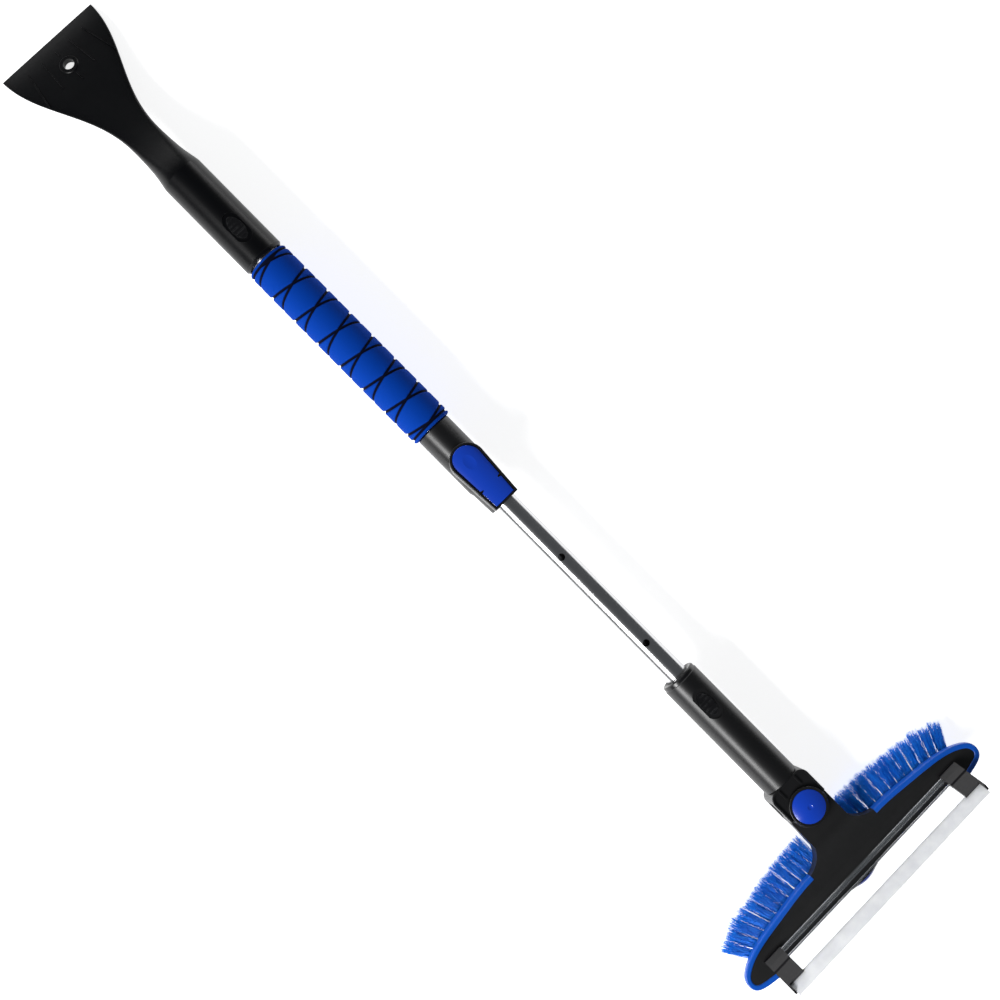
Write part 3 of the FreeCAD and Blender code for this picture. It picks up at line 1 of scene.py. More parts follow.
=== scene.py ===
# %% [markdown]
# # A telescopic snow brush
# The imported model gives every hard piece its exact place: tubes, scraper, lock housing, knuckle and head.
# Blender adds what a CAD solid can't show well: the grooved foam, the loose bristles and every finish.
# All lengths are metres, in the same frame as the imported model, so nothing has to be fitted by eye.

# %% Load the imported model
import json
import math
import random

import bpy
import numpy as np
from mathutils import Matrix, Vector


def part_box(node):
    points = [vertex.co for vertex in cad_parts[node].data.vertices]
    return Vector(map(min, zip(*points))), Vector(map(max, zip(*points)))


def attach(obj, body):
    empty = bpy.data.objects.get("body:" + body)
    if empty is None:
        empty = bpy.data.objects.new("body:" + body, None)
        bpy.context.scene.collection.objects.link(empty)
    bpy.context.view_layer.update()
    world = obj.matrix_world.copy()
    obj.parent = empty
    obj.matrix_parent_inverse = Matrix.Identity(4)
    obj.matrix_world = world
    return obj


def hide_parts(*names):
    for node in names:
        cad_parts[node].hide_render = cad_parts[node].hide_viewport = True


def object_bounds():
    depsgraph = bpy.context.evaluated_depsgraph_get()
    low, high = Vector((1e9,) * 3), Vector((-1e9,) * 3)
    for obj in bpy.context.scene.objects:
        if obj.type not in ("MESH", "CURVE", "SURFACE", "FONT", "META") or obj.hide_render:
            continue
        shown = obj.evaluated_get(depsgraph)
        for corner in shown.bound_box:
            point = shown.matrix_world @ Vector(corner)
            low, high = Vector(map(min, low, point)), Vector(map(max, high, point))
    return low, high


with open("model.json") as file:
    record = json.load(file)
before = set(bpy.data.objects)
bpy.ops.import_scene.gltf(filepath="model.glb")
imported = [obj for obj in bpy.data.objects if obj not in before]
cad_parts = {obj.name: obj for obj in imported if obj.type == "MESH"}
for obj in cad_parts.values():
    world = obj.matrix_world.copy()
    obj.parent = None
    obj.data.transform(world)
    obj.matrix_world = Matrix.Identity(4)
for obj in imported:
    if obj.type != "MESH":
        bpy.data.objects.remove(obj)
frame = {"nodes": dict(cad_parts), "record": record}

cad_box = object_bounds()
nodes = frame["nodes"]
print("pieces in the packed model:", len(nodes))


# %% [markdown]
# ## Camera
# The brush lies flat and is seen from almost straight above, running from the upper left to the lower right.
# A 50 mm lens a little over a metre away shows some perspective: the two ends lean away from each other.
# The camera is built from three directions, because a look-at constraint would leave the roll to chance.

# %% Camera above the handle
MM = 0.001
AXIS_HEIGHT = 35 * MM
CAMERA_RISE = 1150 * MM
CAMERA_TILT = math.radians(5.5)
HANDLE_ANGLE = math.radians(45.2)
VIEW_WIDTH = 833 * MM
SENSOR = 36.0
LOOK_AT = Vector((49.1 * MM, -2.0 * MM, AXIS_HEIGHT))


def aim_camera(target):
    """A camera above the target, leaning to the -Y side, with the handle on the diagonal."""
    back = Vector((0.0, -math.sin(CAMERA_TILT), math.cos(CAMERA_TILT)))
    up = Vector((-math.sin(HANDLE_ANGLE), math.cos(HANDLE_ANGLE), 0.0))
    up = (up - back * up.dot(back)).normalized()
    right = up.cross(back)
    data = bpy.data.cameras.new("studio_camera")
    data.sensor_width = SENSOR
    data.lens = SENSOR * CAMERA_RISE / VIEW_WIDTH
    camera = bpy.data.objects.new("studio_camera", data)
    bpy.context.scene.collection.objects.link(camera)
    turn = Matrix((right, up, back)).transposed().to_4x4()
    camera.matrix_world = Matrix.Translation(target + back * (CAMERA_RISE / math.cos(CAMERA_TILT))) @ turn
    return camera


bpy.context.scene.camera = aim_camera(LOOK_AT)
print("lens, mm:", round(bpy.context.scene.camera.data.lens, 1))


# %% [markdown]
# ## Floor and light
# A pale floor and large soft lights give the even look of a catalogue studio. The floor is a lit table, which
# glows a little by itself, so the shadows under the brush almost vanish.
# A strong long light stands on the near side, a weak low one on the far side by the scraper, and a wide card
# beyond the scraper's end gives the squeegee's chrome something white to mirror. Nothing hangs overhead, so a
# flat face mirrors a dark ceiling and only the round pieces catch a narrow bright line.

# %% Floor, lights and world
FLOOR_SIZE = 12.0
TABLE_GLOW = 0.80


def soft_light(name, place, aim, size, power):
    """A rectangular light facing the point aim; its first side lies along X, or upright if it shines along X."""
    data = bpy.data.lights.new(name, "AREA")
    data.shape = "RECTANGLE"
    data.size, data.size_y = size
    data.energy = power
    light = bpy.data.objects.new(name, data)
    bpy.context.scene.collection.objects.link(light)
    back = (Vector(place) - Vector(aim)).normalized()
    side = Vector((1.0, 0.0, 0.0))
    side = (side - back * side.dot(back)).normalized()
    turn = Matrix((side, back.cross(side), back)).transposed().to_4x4()
    light.matrix_world = Matrix.Translation(place) @ turn
    return light


def studio_floor():
    mesh = bpy.data.meshes.new("floor")
    half = FLOOR_SIZE / 2
    corners = [(-half, -half, 0), (half, -half, 0), (half, half, 0), (-half, half, 0)]
    mesh.from_pydata(corners, [], [(0, 1, 2, 3)])
    floor = bpy.data.objects.new("floor", mesh)
    bpy.context.scene.collection.objects.link(floor)
    floor.location.z = cad_box[0][2] - 0.2 * MM
    material = bpy.data.materials.new("pale_floor")
    material.use_nodes = True
    shader = material.node_tree.nodes["Principled BSDF"]
    shader.inputs["Base Color"].default_value = (0.93, 0.93, 0.93, 1)
    shader.inputs["Roughness"].default_value = 0.9
    shader.inputs["Specular IOR Level"].default_value = 0.1
    shader.inputs["Emission Color"].default_value = (1, 1, 1, 1)
    shader.inputs["Emission Strength"].default_value = TABLE_GLOW
    mesh.materials.append(material)


studio_floor()
soft_light("long_light_near", (0.35, -1.6, 1.35), (0.1, 0.0, 0.0), (1.7, 0.5), 58)
soft_light("long_light_far", (-0.9, 1.9, 0.5), (-0.3, 0.0, 0.0), (1.0, 0.6), 9)
soft_light("end_card", (-3.0, 0.0, 0.55), (0.0, 0.0, 0.05), (1.0, 3.0), 15)
world = bpy.data.worlds.new("studio")
bpy.context.scene.world = world
world.use_nodes = True
world.node_tree.nodes["Background"].inputs["Color"].default_value = (0.9, 0.95, 1.0, 1)
world.node_tree.nodes["Background"].inputs["Strength"].default_value = 0.10
bpy.context.scene.view_settings.view_transform = "Standard"


# %% [markdown]
# ## Effects that several finishes share
# Grain, worn edges (a painted highlight where the edge colour is pale) and uneven shine come back in nearly every
# material, so each is a node group with named sockets.
# A group is built once and then placed in a material with values of its own, like a tool with a dial.
# Groups give out only masks and heights; the shader itself stays in the material.

# %% A helper that makes a node group
def new_group(name, inputs, outputs):
    """A shader node group with float inputs {name: default} and outputs [name]."""
    group = bpy.data.node_groups.new(name, "ShaderNodeTree")
    for label, value in inputs.items():
        socket = group.interface.new_socket(label, in_out="INPUT", socket_type="NodeSocketFloat")
        socket.default_value = value
    for label in outputs:
        group.interface.new_socket(label, in_out="OUTPUT", socket_type="NodeSocketFloat")
    entry = group.nodes.new("NodeGroupInput")
    leave = group.nodes.new("NodeGroupOutput")
    return group, entry, leave


def calculate(tree, operation, first, second=None):
    """A Math node; an argument is a socket or a number."""
    node = tree.nodes.new("ShaderNodeMath")
    node.operation = operation
    for k, value in enumerate((first, second)):
        if value is None:
            continue
        if isinstance(value, (int, float)):
            node.inputs[k].default_value = value
        else:
            tree.links.new(value, node.inputs[k])
    return node.outputs[0]


def spread(tree, value, low, high, to_low=0.0, to_high=1.0):
    """A Map Range node that stretches low..high over to_low..to_high."""
    node = tree.nodes.new("ShaderNodeMapRange")
    tree.links.new(value, node.inputs["Value"])
    for label, number in (("From Min", low), ("From Max", high), ("To Min", to_low), ("To Max", to_high)):
        node.inputs[label].default_value = number
    return node.outputs["Result"]


print("helpers ready")


# %% [markdown]
# ### Moulded grain
# A steel mould is spark-eroded, which leaves the plastic with a fine even texture like very fine leather.
# Two sizes of noise together look less regular than one, and the coordinates stay with the piece as it moves.

# %% Moulded grain
def make_grain():
    group, entry, leave = new_group("moulded_grain", {"Scale": 1500.0, "Coarse share": 0.35}, ["Height"])
    place = group.nodes.new("ShaderNodeTexCoord")
    heights = []
    for factor in (1.0, 0.28):
        noise = group.nodes.new("ShaderNodeTexNoise")
        noise.inputs["Detail"].default_value = 3.0
        group.links.new(place.outputs["Object"], noise.inputs["Vector"])
        group.links.new(calculate(group, "MULTIPLY", entry.outputs["Scale"], factor), noise.inputs["Scale"])
        heights.append(noise.outputs["Fac"])
    coarse = calculate(group, "MULTIPLY", heights[1], entry.outputs["Coarse share"])
    group.links.new(calculate(group, "ADD", heights[0], coarse), leave.inputs["Height"])
    return group


GRAIN = make_grain()
print("group:", GRAIN.name)


# %% [markdown]
# ### Uneven shine
# Hands, gloves and storage leave some areas a little duller than others.
# Broad soft noise moves the roughness up and down by a few hundredths, which breaks a too perfect highlight.

# %% Uneven shine
def make_shine():
    dials = {"Roughness": 0.4, "Change": 0.06, "Scale": 28.0}
    group, entry, leave = new_group("uneven_shine", dials, ["Roughness"])
    place = group.nodes.new("ShaderNodeTexCoord")
    noise = group.nodes.new("ShaderNodeTexNoise")
    noise.inputs["Detail"].default_value = 5.0
    group.links.new(place.outputs["Object"], noise.inputs["Vector"])
    group.links.new(entry.outputs["Scale"], noise.inputs["Scale"])
    centred = calculate(group, "MULTIPLY", calculate(group, "SUBTRACT", noise.outputs["Fac"], 0.5), 2.0)
    change = calculate(group, "MULTIPLY", centred, entry.outputs["Change"])
    group.links.new(calculate(group, "ADD", entry.outputs["Roughness"], change), leave.inputs["Roughness"])
    return group


SHINE = make_shine()
print("group:", SHINE.name)


# %% [markdown]
# ### Rubbed and highlit edges
# Corners are touched first, so they turn a little lighter and smoother than the faces. Where the edge colour is
# much paler, as on the scraper and the ribbed buttons, the lighter edge is a painted highlight.
# The Bevel node rounds the normal near an edge; where it differs from the true normal, there is an edge.

# %% Rubbed and highlit edges
def make_edges():
    group, entry, leave = new_group("worn_and_highlit_edges", {"Radius": 0.0006, "Amount": 0.5}, ["Mask"])
    bevel = group.nodes.new("ShaderNodeBevel")
    bevel.samples = 6
    group.links.new(entry.outputs["Radius"], bevel.inputs["Radius"])
    shape = group.nodes.new("ShaderNodeNewGeometry")
    alike = group.nodes.new("ShaderNodeVectorMath")
    alike.operation = "DOT_PRODUCT"
    group.links.new(bevel.outputs["Normal"], alike.inputs[0])
    group.links.new(shape.outputs["Normal"], alike.inputs[1])
    edge = spread(group, alike.outputs["Value"], 0.995, 0.80)
    place = group.nodes.new("ShaderNodeTexCoord")
    noise = group.nodes.new("ShaderNodeTexNoise")
    noise.inputs["Scale"].default_value = 180.0
    group.links.new(place.outputs["Object"], noise.inputs["Vector"])
    broken = calculate(group, "MULTIPLY", edge, spread(group, noise.outputs["Fac"], 0.35, 0.65))
    group.links.new(calculate(group, "MULTIPLY", broken, entry.outputs["Amount"]), leave.inputs["Mask"])
    return group


EDGES = make_edges()
print("group:", EDGES.name)


# %% [markdown]
# ### Drawn lines
# A tube is pulled through a die, which leaves fine lines along its length.
# Noise squeezed in X and stretched across it gives long thin streaks.

# %% Drawn lines
def make_lines():
    group, entry, leave = new_group("drawn_lines", {"Scale": 900.0, "Stretch": 0.012}, ["Height"])
    place = group.nodes.new("ShaderNodeTexCoord")
    parts = group.nodes.new("ShaderNodeSeparateXYZ")
    group.links.new(place.outputs["Object"], parts.inputs[0])
    along = calculate(group, "MULTIPLY", parts.outputs["X"], entry.outputs["Stretch"])
    joined = group.nodes.new("ShaderNodeCombineXYZ")
    for label, value in (("X", along), ("Y", parts.outputs["Y"]), ("Z", parts.outputs["Z"])):
        group.links.new(value, joined.inputs[label])
    noise = group.nodes.new("ShaderNodeTexNoise")
    noise.inputs["Detail"].default_value = 2.0
    group.links.new(joined.outputs[0], noise.inputs["Vector"])
    group.links.new(entry.outputs["Scale"], noise.inputs["Scale"])
    group.links.new(noise.outputs["Fac"], leave.inputs["Height"])
    return group


LINES = make_lines()
print("group:", LINES.name)


# %% [markdown]
# ## Finishes
# Each finish starts from one Principled shader and takes the groups it needs.
# The helpers below place a group, feed the roughness, the bump and a second colour, and leave the rest plain.

# %% Helpers that put a finish together
def new_finish(name, colour, roughness, **plain):
    """A material whose shader has this colour and roughness; plain sets other sockets, _ for a space."""
    material = bpy.data.materials.new(name)
    material.use_nodes = True
    shader = material.node_tree.nodes["Principled BSDF"]
    shader.inputs["Base Color"].default_value = (*colour, 1)
    shader.inputs["Roughness"].default_value = roughness
    for label, value in plain.items():
        shader.inputs[label.replace("_", " ")].default_value = value
    return material


def place_group(material, group, **values):
    node = material.node_tree.nodes.new("ShaderNodeGroup")
    node.node_tree = group
    for label, value in values.items():
        node.inputs[label.replace("_", " ")].default_value = value
    return node


def shader_of(material):
    return material.node_tree.nodes["Principled BSDF"]


def vary_shine(material, change, scale=28.0):
    base = shader_of(material).inputs["Roughness"].default_value
    shine = place_group(material, SHINE, Roughness=base, Change=change, Scale=scale)
    material.node_tree.links.new(shine.outputs["Roughness"], shader_of(material).inputs["Roughness"])


def raise_height(material, height, distance, strength=1.0):
    """A Bump node from a height socket, feeding the shader's normal."""
    bump = material.node_tree.nodes.new("ShaderNodeBump")
    bump.inputs["Distance"].default_value = distance
    bump.inputs["Strength"].default_value = strength
    material.node_tree.links.new(height, bump.inputs["Height"])
    material.node_tree.links.new(bump.outputs["Normal"], shader_of(material).inputs["Normal"])


def blend_colour(material, mask, first, second):
    """Base colour that goes from first to second as the mask rises."""
    mix = material.node_tree.nodes.new("ShaderNodeMix")
    mix.data_type = "RGBA"
    mix.inputs[6].default_value = (*first, 1)
    mix.inputs[7].default_value = (*second, 1)
    material.node_tree.links.new(mask, mix.inputs[0])
    material.node_tree.links.new(mix.outputs[2], shader_of(material).inputs["Base Color"])


def moulded_plastic(name, colour, wear_and_highlight_colour, roughness, grain, depth, wear_and_highlight_amount=0.5, **plain):
    """Injection-moulded plastic with grain, uneven shine and lighter edges: worn on most pieces, a painted
    highlight where the edge colour is pale.
    """
    material = new_finish(name, colour, roughness, **plain)
    vary_shine(material, 0.05)
    height = place_group(material, GRAIN, Scale=grain).outputs["Height"]
    raise_height(material, height, depth)
    edges = place_group(material, EDGES, Amount=wear_and_highlight_amount)
    # lighter edges: worn on most pieces, a painted highlight on the scraper and the buttons
    blend_colour(material, edges.outputs["Mask"], colour, wear_and_highlight_colour)
    return material


print("finish helpers ready")


# %% [markdown]
# ### Plastics
# The handle parts are black with a soft satin sheen, the buttons a little glossier, the head slightly coarser.
# The scraper and the ribbed buttons get a paler grey at their edges, a painted highlight which makes fine ribs
# readable.
# Black plastic is never pure black: about one percent of the light comes back, with a cool tint.
# The lever and the pivot button are a strong blue with a thin coat that gives them a wet highlight; the rim is a
# slightly greener blue without the coat.

# %% Black and blue plastics
RUBBED_BLACK = (0.020, 0.021, 0.024)
# painted highlight: a pale edge colour for the ribs of the scraper and the buttons
PAINTED_EDGE_HIGHLIGHT = (0.060, 0.061, 0.064)
finishes = {
    "scraper_plastic": moulded_plastic(
        "scraper_satin", (0.0012, 0.0013, 0.0020), PAINTED_EDGE_HIGHLIGHT, 0.34, 1800, 0.00002, Specular_IOR_Level=0.22
    ),
    "black_plastic": moulded_plastic(
        "handle_satin", (0.0050, 0.0050, 0.0056), RUBBED_BLACK, 0.36, 1600, 0.00003
    ),
    # the full edge amount paints a highlight on the button ribs
    "button_plastic": moulded_plastic(
        "button_black", (0.0040, 0.0040, 0.0048), PAINTED_EDGE_HIGHLIGHT, 0.26, 2400, 0.00001, wear_and_highlight_amount=1.0
    ),
    "head_plastic": moulded_plastic(
        "head_texture", (0.0070, 0.0070, 0.0074), RUBBED_BLACK, 0.42, 1300, 0.00004
    ),
    "clip_plastic": moulded_plastic(
        "clip_black", (0.0070, 0.0064, 0.0076), RUBBED_BLACK, 0.34, 1800, 0.00002
    ),
    "block_plastic": moulded_plastic("block_black", (0.012, 0.012, 0.013), RUBBED_BLACK, 0.5, 1200, 0.00004),
    "gear_plastic": moulded_plastic(
        "gear_natural", (0.72, 0.70, 0.65), (0.78, 0.77, 0.73), 0.45, 1500, 0.00002
    ),
    "blue_plastic": moulded_plastic(
        "lever_blue", (0.003, 0.045, 0.46), (0.02, 0.10, 0.60), 0.22, 2400, 0.00001, Coat_Weight=0.5
    ),
    "blue_trim": moulded_plastic("rim_blue", (0.002, 0.085, 0.50), (0.02, 0.14, 0.62), 0.32, 1800, 0.00001),
}
print("plastics:", sorted(finishes))


# %% [markdown]
# ### Metals
# The sliding tube is brushed bright aluminium, with faint drawing lines that stretch its highlights.
# The squeegee's trim is chrome-like and sharper still. Screws and springs are plain zinc-plated steel.

# %% Metals
def metal(name, colour, roughness, change, lines, depth):
    material = new_finish(name, colour, roughness, Metallic=1.0)
    vary_shine(material, change, 40.0)
    height = place_group(material, LINES, Scale=lines).outputs["Height"]
    raise_height(material, height, depth)
    tone = place_group(material, GRAIN, Scale=60.0).outputs["Height"]
    mask = spread(material.node_tree, tone, 0.45, 0.90)
    blend_colour(material, mask, colour, tuple(0.93 * part for part in colour))
    return material


finishes["polished_aluminium"] = metal("tube_polished", (0.62, 0.62, 0.63), 0.21, 0.03, 900, 0.000004)
finishes["aluminium"] = metal("tube_satin", (0.70, 0.70, 0.72), 0.30, 0.05, 900, 0.00003)
finishes["chrome_trim"] = metal("trim_mirror", (0.88, 0.89, 0.90), 0.05, 0.02, 300, 0.000003)
finishes["steel"] = metal("screw_zinc", (0.60, 0.60, 0.61), 0.32, 0.06, 700, 0.00002)
finishes["spring_steel"] = metal("spring_bright", (0.52, 0.52, 0.53), 0.26, 0.05, 700, 0.00002)
finishes["lever_pin"] = metal("pin_blackened", (0.030, 0.030, 0.032), 0.40, 0.05, 700, 0.00001)
print("metals ready")


# %% [markdown]
# ### Squeegee rubber
# The blade is milky silicone: light goes in, scatters and comes out again, so thin parts glow.
# Subsurface scattering does that without making it see-through; faint dust keeps it from looking like wax.

# %% Milky silicone
def milky_rubber():
    material = new_finish("silicone_milky", (0.78, 0.79, 0.80), 0.36, Subsurface_Weight=0.35)
    shader_of(material).inputs["Subsurface Radius"].default_value = (0.9, 0.9, 1.0)
    shader_of(material).inputs["Subsurface Scale"].default_value = 0.002
    vary_shine(material, 0.08, 60.0)
    tone = place_group(material, GRAIN, Scale=90.0).outputs["Height"]
    dust = spread(material.node_tree, tone, 0.45, 0.9)
    blend_colour(material, dust, (0.82, 0.83, 0.84), (0.70, 0.71, 0.73))
    fine = place_group(material, GRAIN, Scale=1400.0).outputs["Height"]
    raise_height(material, fine, 0.00001)
    return material


finishes["squeegee_rubber"] = milky_rubber()
print("rubber ready")


# %% [markdown]
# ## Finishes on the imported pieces
# The record names a material slot for each piece, so the finish follows from the slot.
# Each object keeps its mesh and only gets a new material in the slots it already has.

# %% Give each piece its finish
SOFT_NODES = ("foam_grip", "bristles_left", "bristles_right", "support_tufts")
slot_of = {part["node"]: part["material_slot"] for part in frame["record"]["subparts"]}


def dress(piece, material):
    if not piece.material_slots:
        piece.data.materials.append(material)
    for slot in piece.material_slots:
        slot.material = material


for name, piece in nodes.items():
    if name not in SOFT_NODES:
        dress(piece, finishes.get(name, finishes[slot_of[name]]))
print("dressed:", len(nodes) - len(SOFT_NODES))


# %% [markdown]
# ## Foam grip
# The grip is a tube of closed-cell foam with grooves pressed into it: one spiral turns right, one turns left.
# They cross in a row of X shapes and leave soft diamonds between, with a ring at each end.
# Each point's distance from the nearest groove sets its depth, so the groove lies in a fine grid of points.

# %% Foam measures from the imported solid
foam_low, foam_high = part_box("foam_grip")
FOAM_RADIUS = (foam_high.z - foam_low.z) / 2
FOAM_BORE = 12.55 * MM
GROOVE_PITCH = 26.7 * MM
FIRST_CROSSING = 5.8 * MM
GROOVE_DEPTH = 1.7 * MM
GROOVE_HALF = 1.15 * MM
END_GROOVE = 3.6 * MM
END_ROUND = 2.4 * MM
FOAM_ROUND_STEPS = 216
FOAM_LENGTH_STEPS = 360
foam_length = foam_high.x - foam_low.x
print("foam length, mm:", round(foam_length / MM, 1))


# %% Depth of the grooves
def groove_share(distance):
    """1 in the middle of a groove, 0 outside it, with soft shoulders."""
    near = np.clip(np.abs(distance) / (2.1 * GROOVE_HALF), 0, 1)
    return np.exp(-((near * 2.1) ** 2.6)) * (1 - near**6)


def spiral_distance(along, angle, hand):
    turn = (along - FIRST_CROSSING) / GROOVE_PITCH - hand * angle / (2 * math.pi)
    away = np.abs(turn - np.round(turn)) * GROOVE_PITCH
    lean = math.atan2(2 * math.pi * FOAM_RADIUS, GROOVE_PITCH)
    return away * math.sin(lean)


def foam_surface(along, angle):
    """Radius and groove share for arrays of places along and around the grip."""
    end = np.minimum(along, foam_length - along)
    phase = math.pi / 2
    grooves = [groove_share(spiral_distance(along, angle - phase, hand)) for hand in (1, -1)]
    grooves = [g * np.clip((end - END_GROOVE) / (2 * MM) + 1, 0, 1) for g in grooves]
    grooves.append(groove_share(end - END_GROOVE))
    share = np.maximum.reduce(grooves)
    corner = np.clip(1 - end / END_ROUND, 0, 1)
    rounding = END_ROUND * (1 - np.sqrt(1 - corner**2))
    return FOAM_RADIUS - GROOVE_DEPTH * share - rounding, share


print("groove width, mm:", 2 * GROOVE_HALF / MM)


# %% Build the foam grip
def build_foam():
    along = np.linspace(0, foam_length, FOAM_LENGTH_STEPS + 1)
    angle = np.linspace(0, 2 * math.pi, FOAM_ROUND_STEPS, endpoint=False)
    grid_along, grid_angle = np.meshgrid(along, angle, indexing="ij")
    radius, share = foam_surface(grid_along, grid_angle)
    bore = np.full((1, FOAM_ROUND_STEPS), FOAM_BORE)
    radius = np.vstack([bore, radius, bore])
    share = np.vstack([share[:1] * 0, share, share[:1] * 0])
    grid_along = np.vstack([grid_along[:1], grid_along, grid_along[-1:]])
    grid_angle = np.vstack([grid_angle[:1], grid_angle, grid_angle[-1:]])
    points = np.stack(
        [foam_low.x + grid_along, radius * np.cos(grid_angle), AXIS_HEIGHT + radius * np.sin(grid_angle)], axis=-1
    ).reshape(-1, 3)
    rows, columns = radius.shape
    faces = []
    for i in range(rows):
        after = (i + 1) % rows
        for j in range(columns):
            k = (j + 1) % columns
            faces.append((i * columns + j, i * columns + k, after * columns + k, after * columns + j))
    mesh = bpy.data.meshes.new("foam_grip_grooved")
    mesh.from_pydata(points.tolist(), [], faces)
    mesh.shade_smooth()
    layer = mesh.attributes.new("groove", "FLOAT", "POINT")
    layer.data.foreach_set("value", share.ravel().astype(np.float32))
    grip = bpy.data.objects.new("foam_grip_grooved", mesh)
    bpy.context.scene.collection.objects.link(grip)
    return grip


foam = build_foam()
print("foam faces:", len(foam.data.polygons))


# %% [markdown]
# ### Foam finish
# Closed-cell foam is dull and a little velvety, with tiny pits where the surface cuts through bubbles.
# A Voronoi texture gives the pits. The groove value stored on the mesh darkens the blue to near black
# in the grooves, as painted shade.

# %% Foam material
FOAM_BLUE = (0.0001, 0.042, 0.34)


def foam_finish():
    material = new_finish("grip_foam", FOAM_BLUE, 0.8, Specular_IOR_Level=0.06)
    tree = material.node_tree
    stored = tree.nodes.new("ShaderNodeAttribute")
    stored.attribute_name = "groove"
    # painted shade: the blue turns near black inside the grooves
    blend_colour(material, spread(tree, stored.outputs["Fac"], 0.18, 0.62), FOAM_BLUE, (0.002, 0.003, 0.014))
    vary_shine(material, 0.06, 50.0)
    place = tree.nodes.new("ShaderNodeTexCoord")
    cells = tree.nodes.new("ShaderNodeTexVoronoi")
    cells.inputs["Scale"].default_value = 1500.0
    tree.links.new(place.outputs["Object"], cells.inputs["Vector"])
    fine = place_group(material, GRAIN, Scale=700.0).outputs["Height"]
    raise_height(material, calculate(tree, "ADD", cells.outputs["Distance"], fine), 0.00007)
    return material


dress(foam, foam_finish())
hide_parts("foam_grip")
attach(foam, "handle")
print("foam dressed")


# %% [markdown]
# ## Bristles
# A brush is filled with tufts: each is a pinch of nylon threads folded in a hole and splayed towards its tip.
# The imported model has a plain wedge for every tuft. Reading each wedge's two ends gives the place and
# direction of a tuft, and threads then fill it, so the brush follows the model if a size changes.

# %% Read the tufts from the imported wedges
def tuft_wedges(name):
    """The separate solids of a node, as arrays of their corner points."""
    mesh = nodes[name].data
    points = np.zeros(len(mesh.vertices) * 3, np.float32)
    mesh.vertices.foreach_get("co", points)
    points = points.reshape(-1, 3)
    keys = [tuple(np.round(p / (0.01 * MM)).astype(int)) for p in points]
    group = {key: key for key in keys}

    def leader(key):
        while group[key] != key:
            key = group[key]
        return key

    for face in mesh.polygons:
        first = leader(keys[face.vertices[0]])
        for v in face.vertices[1:]:
            group[leader(keys[v])] = first
    wedges = {}
    for key, point in zip(keys, points):
        wedges.setdefault(leader(key), {})[key] = point
    return [np.array(list(w.values())) for _, w in sorted(wedges.items())]


def tuft_ends(corners):
    """Centre of the root and of the tip, the root being further from the handle."""
    order = np.argsort(corners[:, 0])
    tip, root = corners[order[: len(order) // 2]], corners[order[len(order) // 2 :]]
    return Vector(root.mean(0).tolist()), Vector(tip.mean(0).tolist())


tufts = {name: [tuft_ends(w) for w in tuft_wedges(name)] for name in SOFT_NODES[1:]}
print("tufts:", {name: len(found) for name, found in tufts.items()})


# %% [markdown]
# ### Threads
# A thread is a thin three-sided spike of five rings, bent a little by its own curve.
# Its root starts inside the block, behind the row, so that no gap shows between the rim and the bristles.
# Threads in a real tuft cling together in small bunches and end raggedly, so a bunch shares most of its
# direction and every thread has its own length. A seeded generator gives the same brush each time.

# %% Threads of one tuft
THREADS = 110
THREAD_RADIUS = 0.21 * MM
THREAD_RINGS = 5
BUNCH = 6
FLOOR_GAP = 0.35 * MM
ROOT_DEPTH = 6.0 * MM
ROOT_SPREAD = (3.7, 1.4)
TIP_SPREAD = (5.0, 1.6)


def thread_path(root, tip, across, rise, rng, bunch):
    """Places along one thread from inside the block to its tip."""
    wide, high = ROOT_SPREAD
    start = root + across * rng.uniform(-wide, wide) * MM + rise * rng.uniform(-high, high) * MM
    start -= (tip - root).normalized() * ROOT_DEPTH
    length = rng.uniform(0.80, 1.05) + bunch[2]
    aim = tip + across * (bunch[0] + rng.gauss(0, 0.7)) * MM + rise * (bunch[1] + rng.gauss(0, 0.5)) * MM
    bend = across * rng.gauss(0, 0.9) * MM + rise * rng.gauss(0, 0.6) * MM
    places = []
    for k in range(THREAD_RINGS):
        share = k / (THREAD_RINGS - 1)
        place = start + (aim - start) * share * length + bend * math.sin(math.pi * share)
        place.z = max(place.z, cad_box[0][2] + FLOOR_GAP)
        places.append(place)
    return places


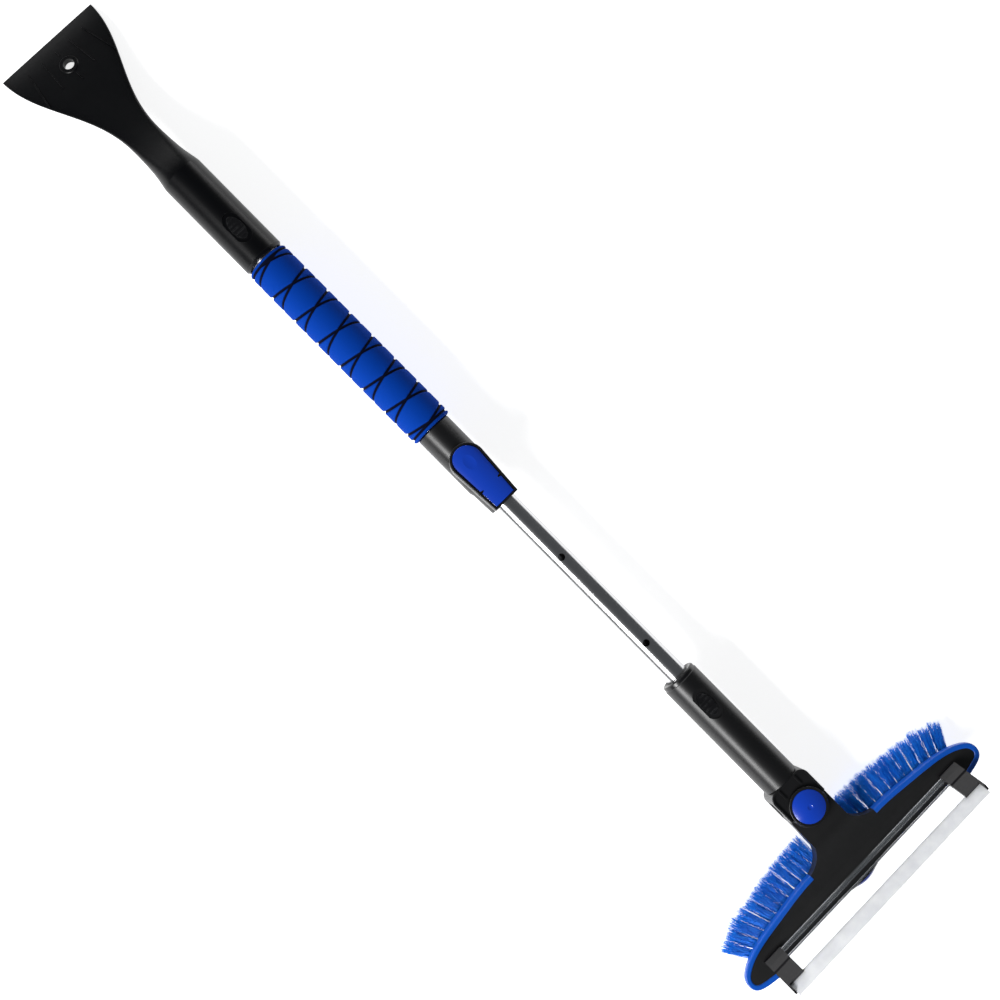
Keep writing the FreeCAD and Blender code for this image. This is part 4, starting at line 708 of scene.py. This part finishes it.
def grow_tuft(root, tip, rng, points, faces):
    """Add the threads of a tuft to lists of points and faces."""
    along = (tip - root).normalized()
    across = along.cross(Vector((0, 0, 1))).normalized()
    rise = across.cross(along).normalized()
    for k in range(THREADS):
        if k % BUNCH == 0:
            wide, high = TIP_SPREAD
            bunch = (rng.uniform(-wide, wide), rng.uniform(-high, high), rng.uniform(-0.06, 0.04))
        first = len(points)
        for ring, place in enumerate(thread_path(root, tip, across, rise, rng, bunch)):
            radius = THREAD_RADIUS * (1 - 0.35 * ring / (THREAD_RINGS - 1))
            for side in range(3):
                turn = 2 * math.pi * side / 3
                points.append(place + (across * math.cos(turn) + rise * math.sin(turn)) * radius)
        for ring in range(THREAD_RINGS - 1):
            for side in range(3):
                a, b = first + ring * 3 + side, first + ring * 3 + (side + 1) % 3
                faces.append((a, b, b + 3, a + 3))
        last = first + (THREAD_RINGS - 1) * 3
        faces.append((last, last + 1, last + 2))
        faces.append((first + 2, first + 1, first))


print("threads in a tuft:", THREADS)


# %% [markdown]
# ### Bristle finish
# Nylon threads are smooth, slightly see-through and bright along their length.
# Each thread is an island of the mesh, so Random Per Island gives every one its own shade of blue.

# %% Bristle material
def bristle_finish():
    material = new_finish("nylon_blue", (0.0, 0.13, 0.70), 0.42, Specular_IOR_Level=0.25)
    tree = material.node_tree
    shape = tree.nodes.new("ShaderNodeNewGeometry")
    shade = spread(tree, shape.outputs["Random Per Island"], 0.0, 1.0)
    blend_colour(material, shade, (0.0, 0.12, 0.68), (0.01, 0.30, 1.0))
    vary_shine(material, 0.10, 400.0)
    fine = place_group(material, GRAIN, Scale=2600.0).outputs["Height"]
    raise_height(material, fine, 0.000015)
    return material


NYLON = bristle_finish()
print("material:", NYLON.name)


# %% Fill the brush
def build_brush(name, found, seed):
    rng = random.Random(seed)
    points, faces = [], []
    for root, tip in found:
        grow_tuft(root, tip, rng, points, faces)
    mesh = bpy.data.meshes.new(name)
    mesh.from_pydata([tuple(p) for p in points], [], faces)
    mesh.shade_smooth()
    brush = bpy.data.objects.new(name, mesh)
    bpy.context.scene.collection.objects.link(brush)
    dress(brush, NYLON)
    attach(brush, "head")
    return brush


for seed, (name, found) in enumerate(tufts.items(), start=11):
    brush = build_brush(name + "_threads", found, seed)
    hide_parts(name)
    print(brush.name, "faces:", len(brush.data.polygons))


# %% [markdown]
# ## Size
# A helper turns a box into plain lists of numbers. The finished model has to stay in the imported model's
# box.

# %% Boxes as plain numbers
def plain(box):
    return [[float(part) for part in corner] for corner in box]
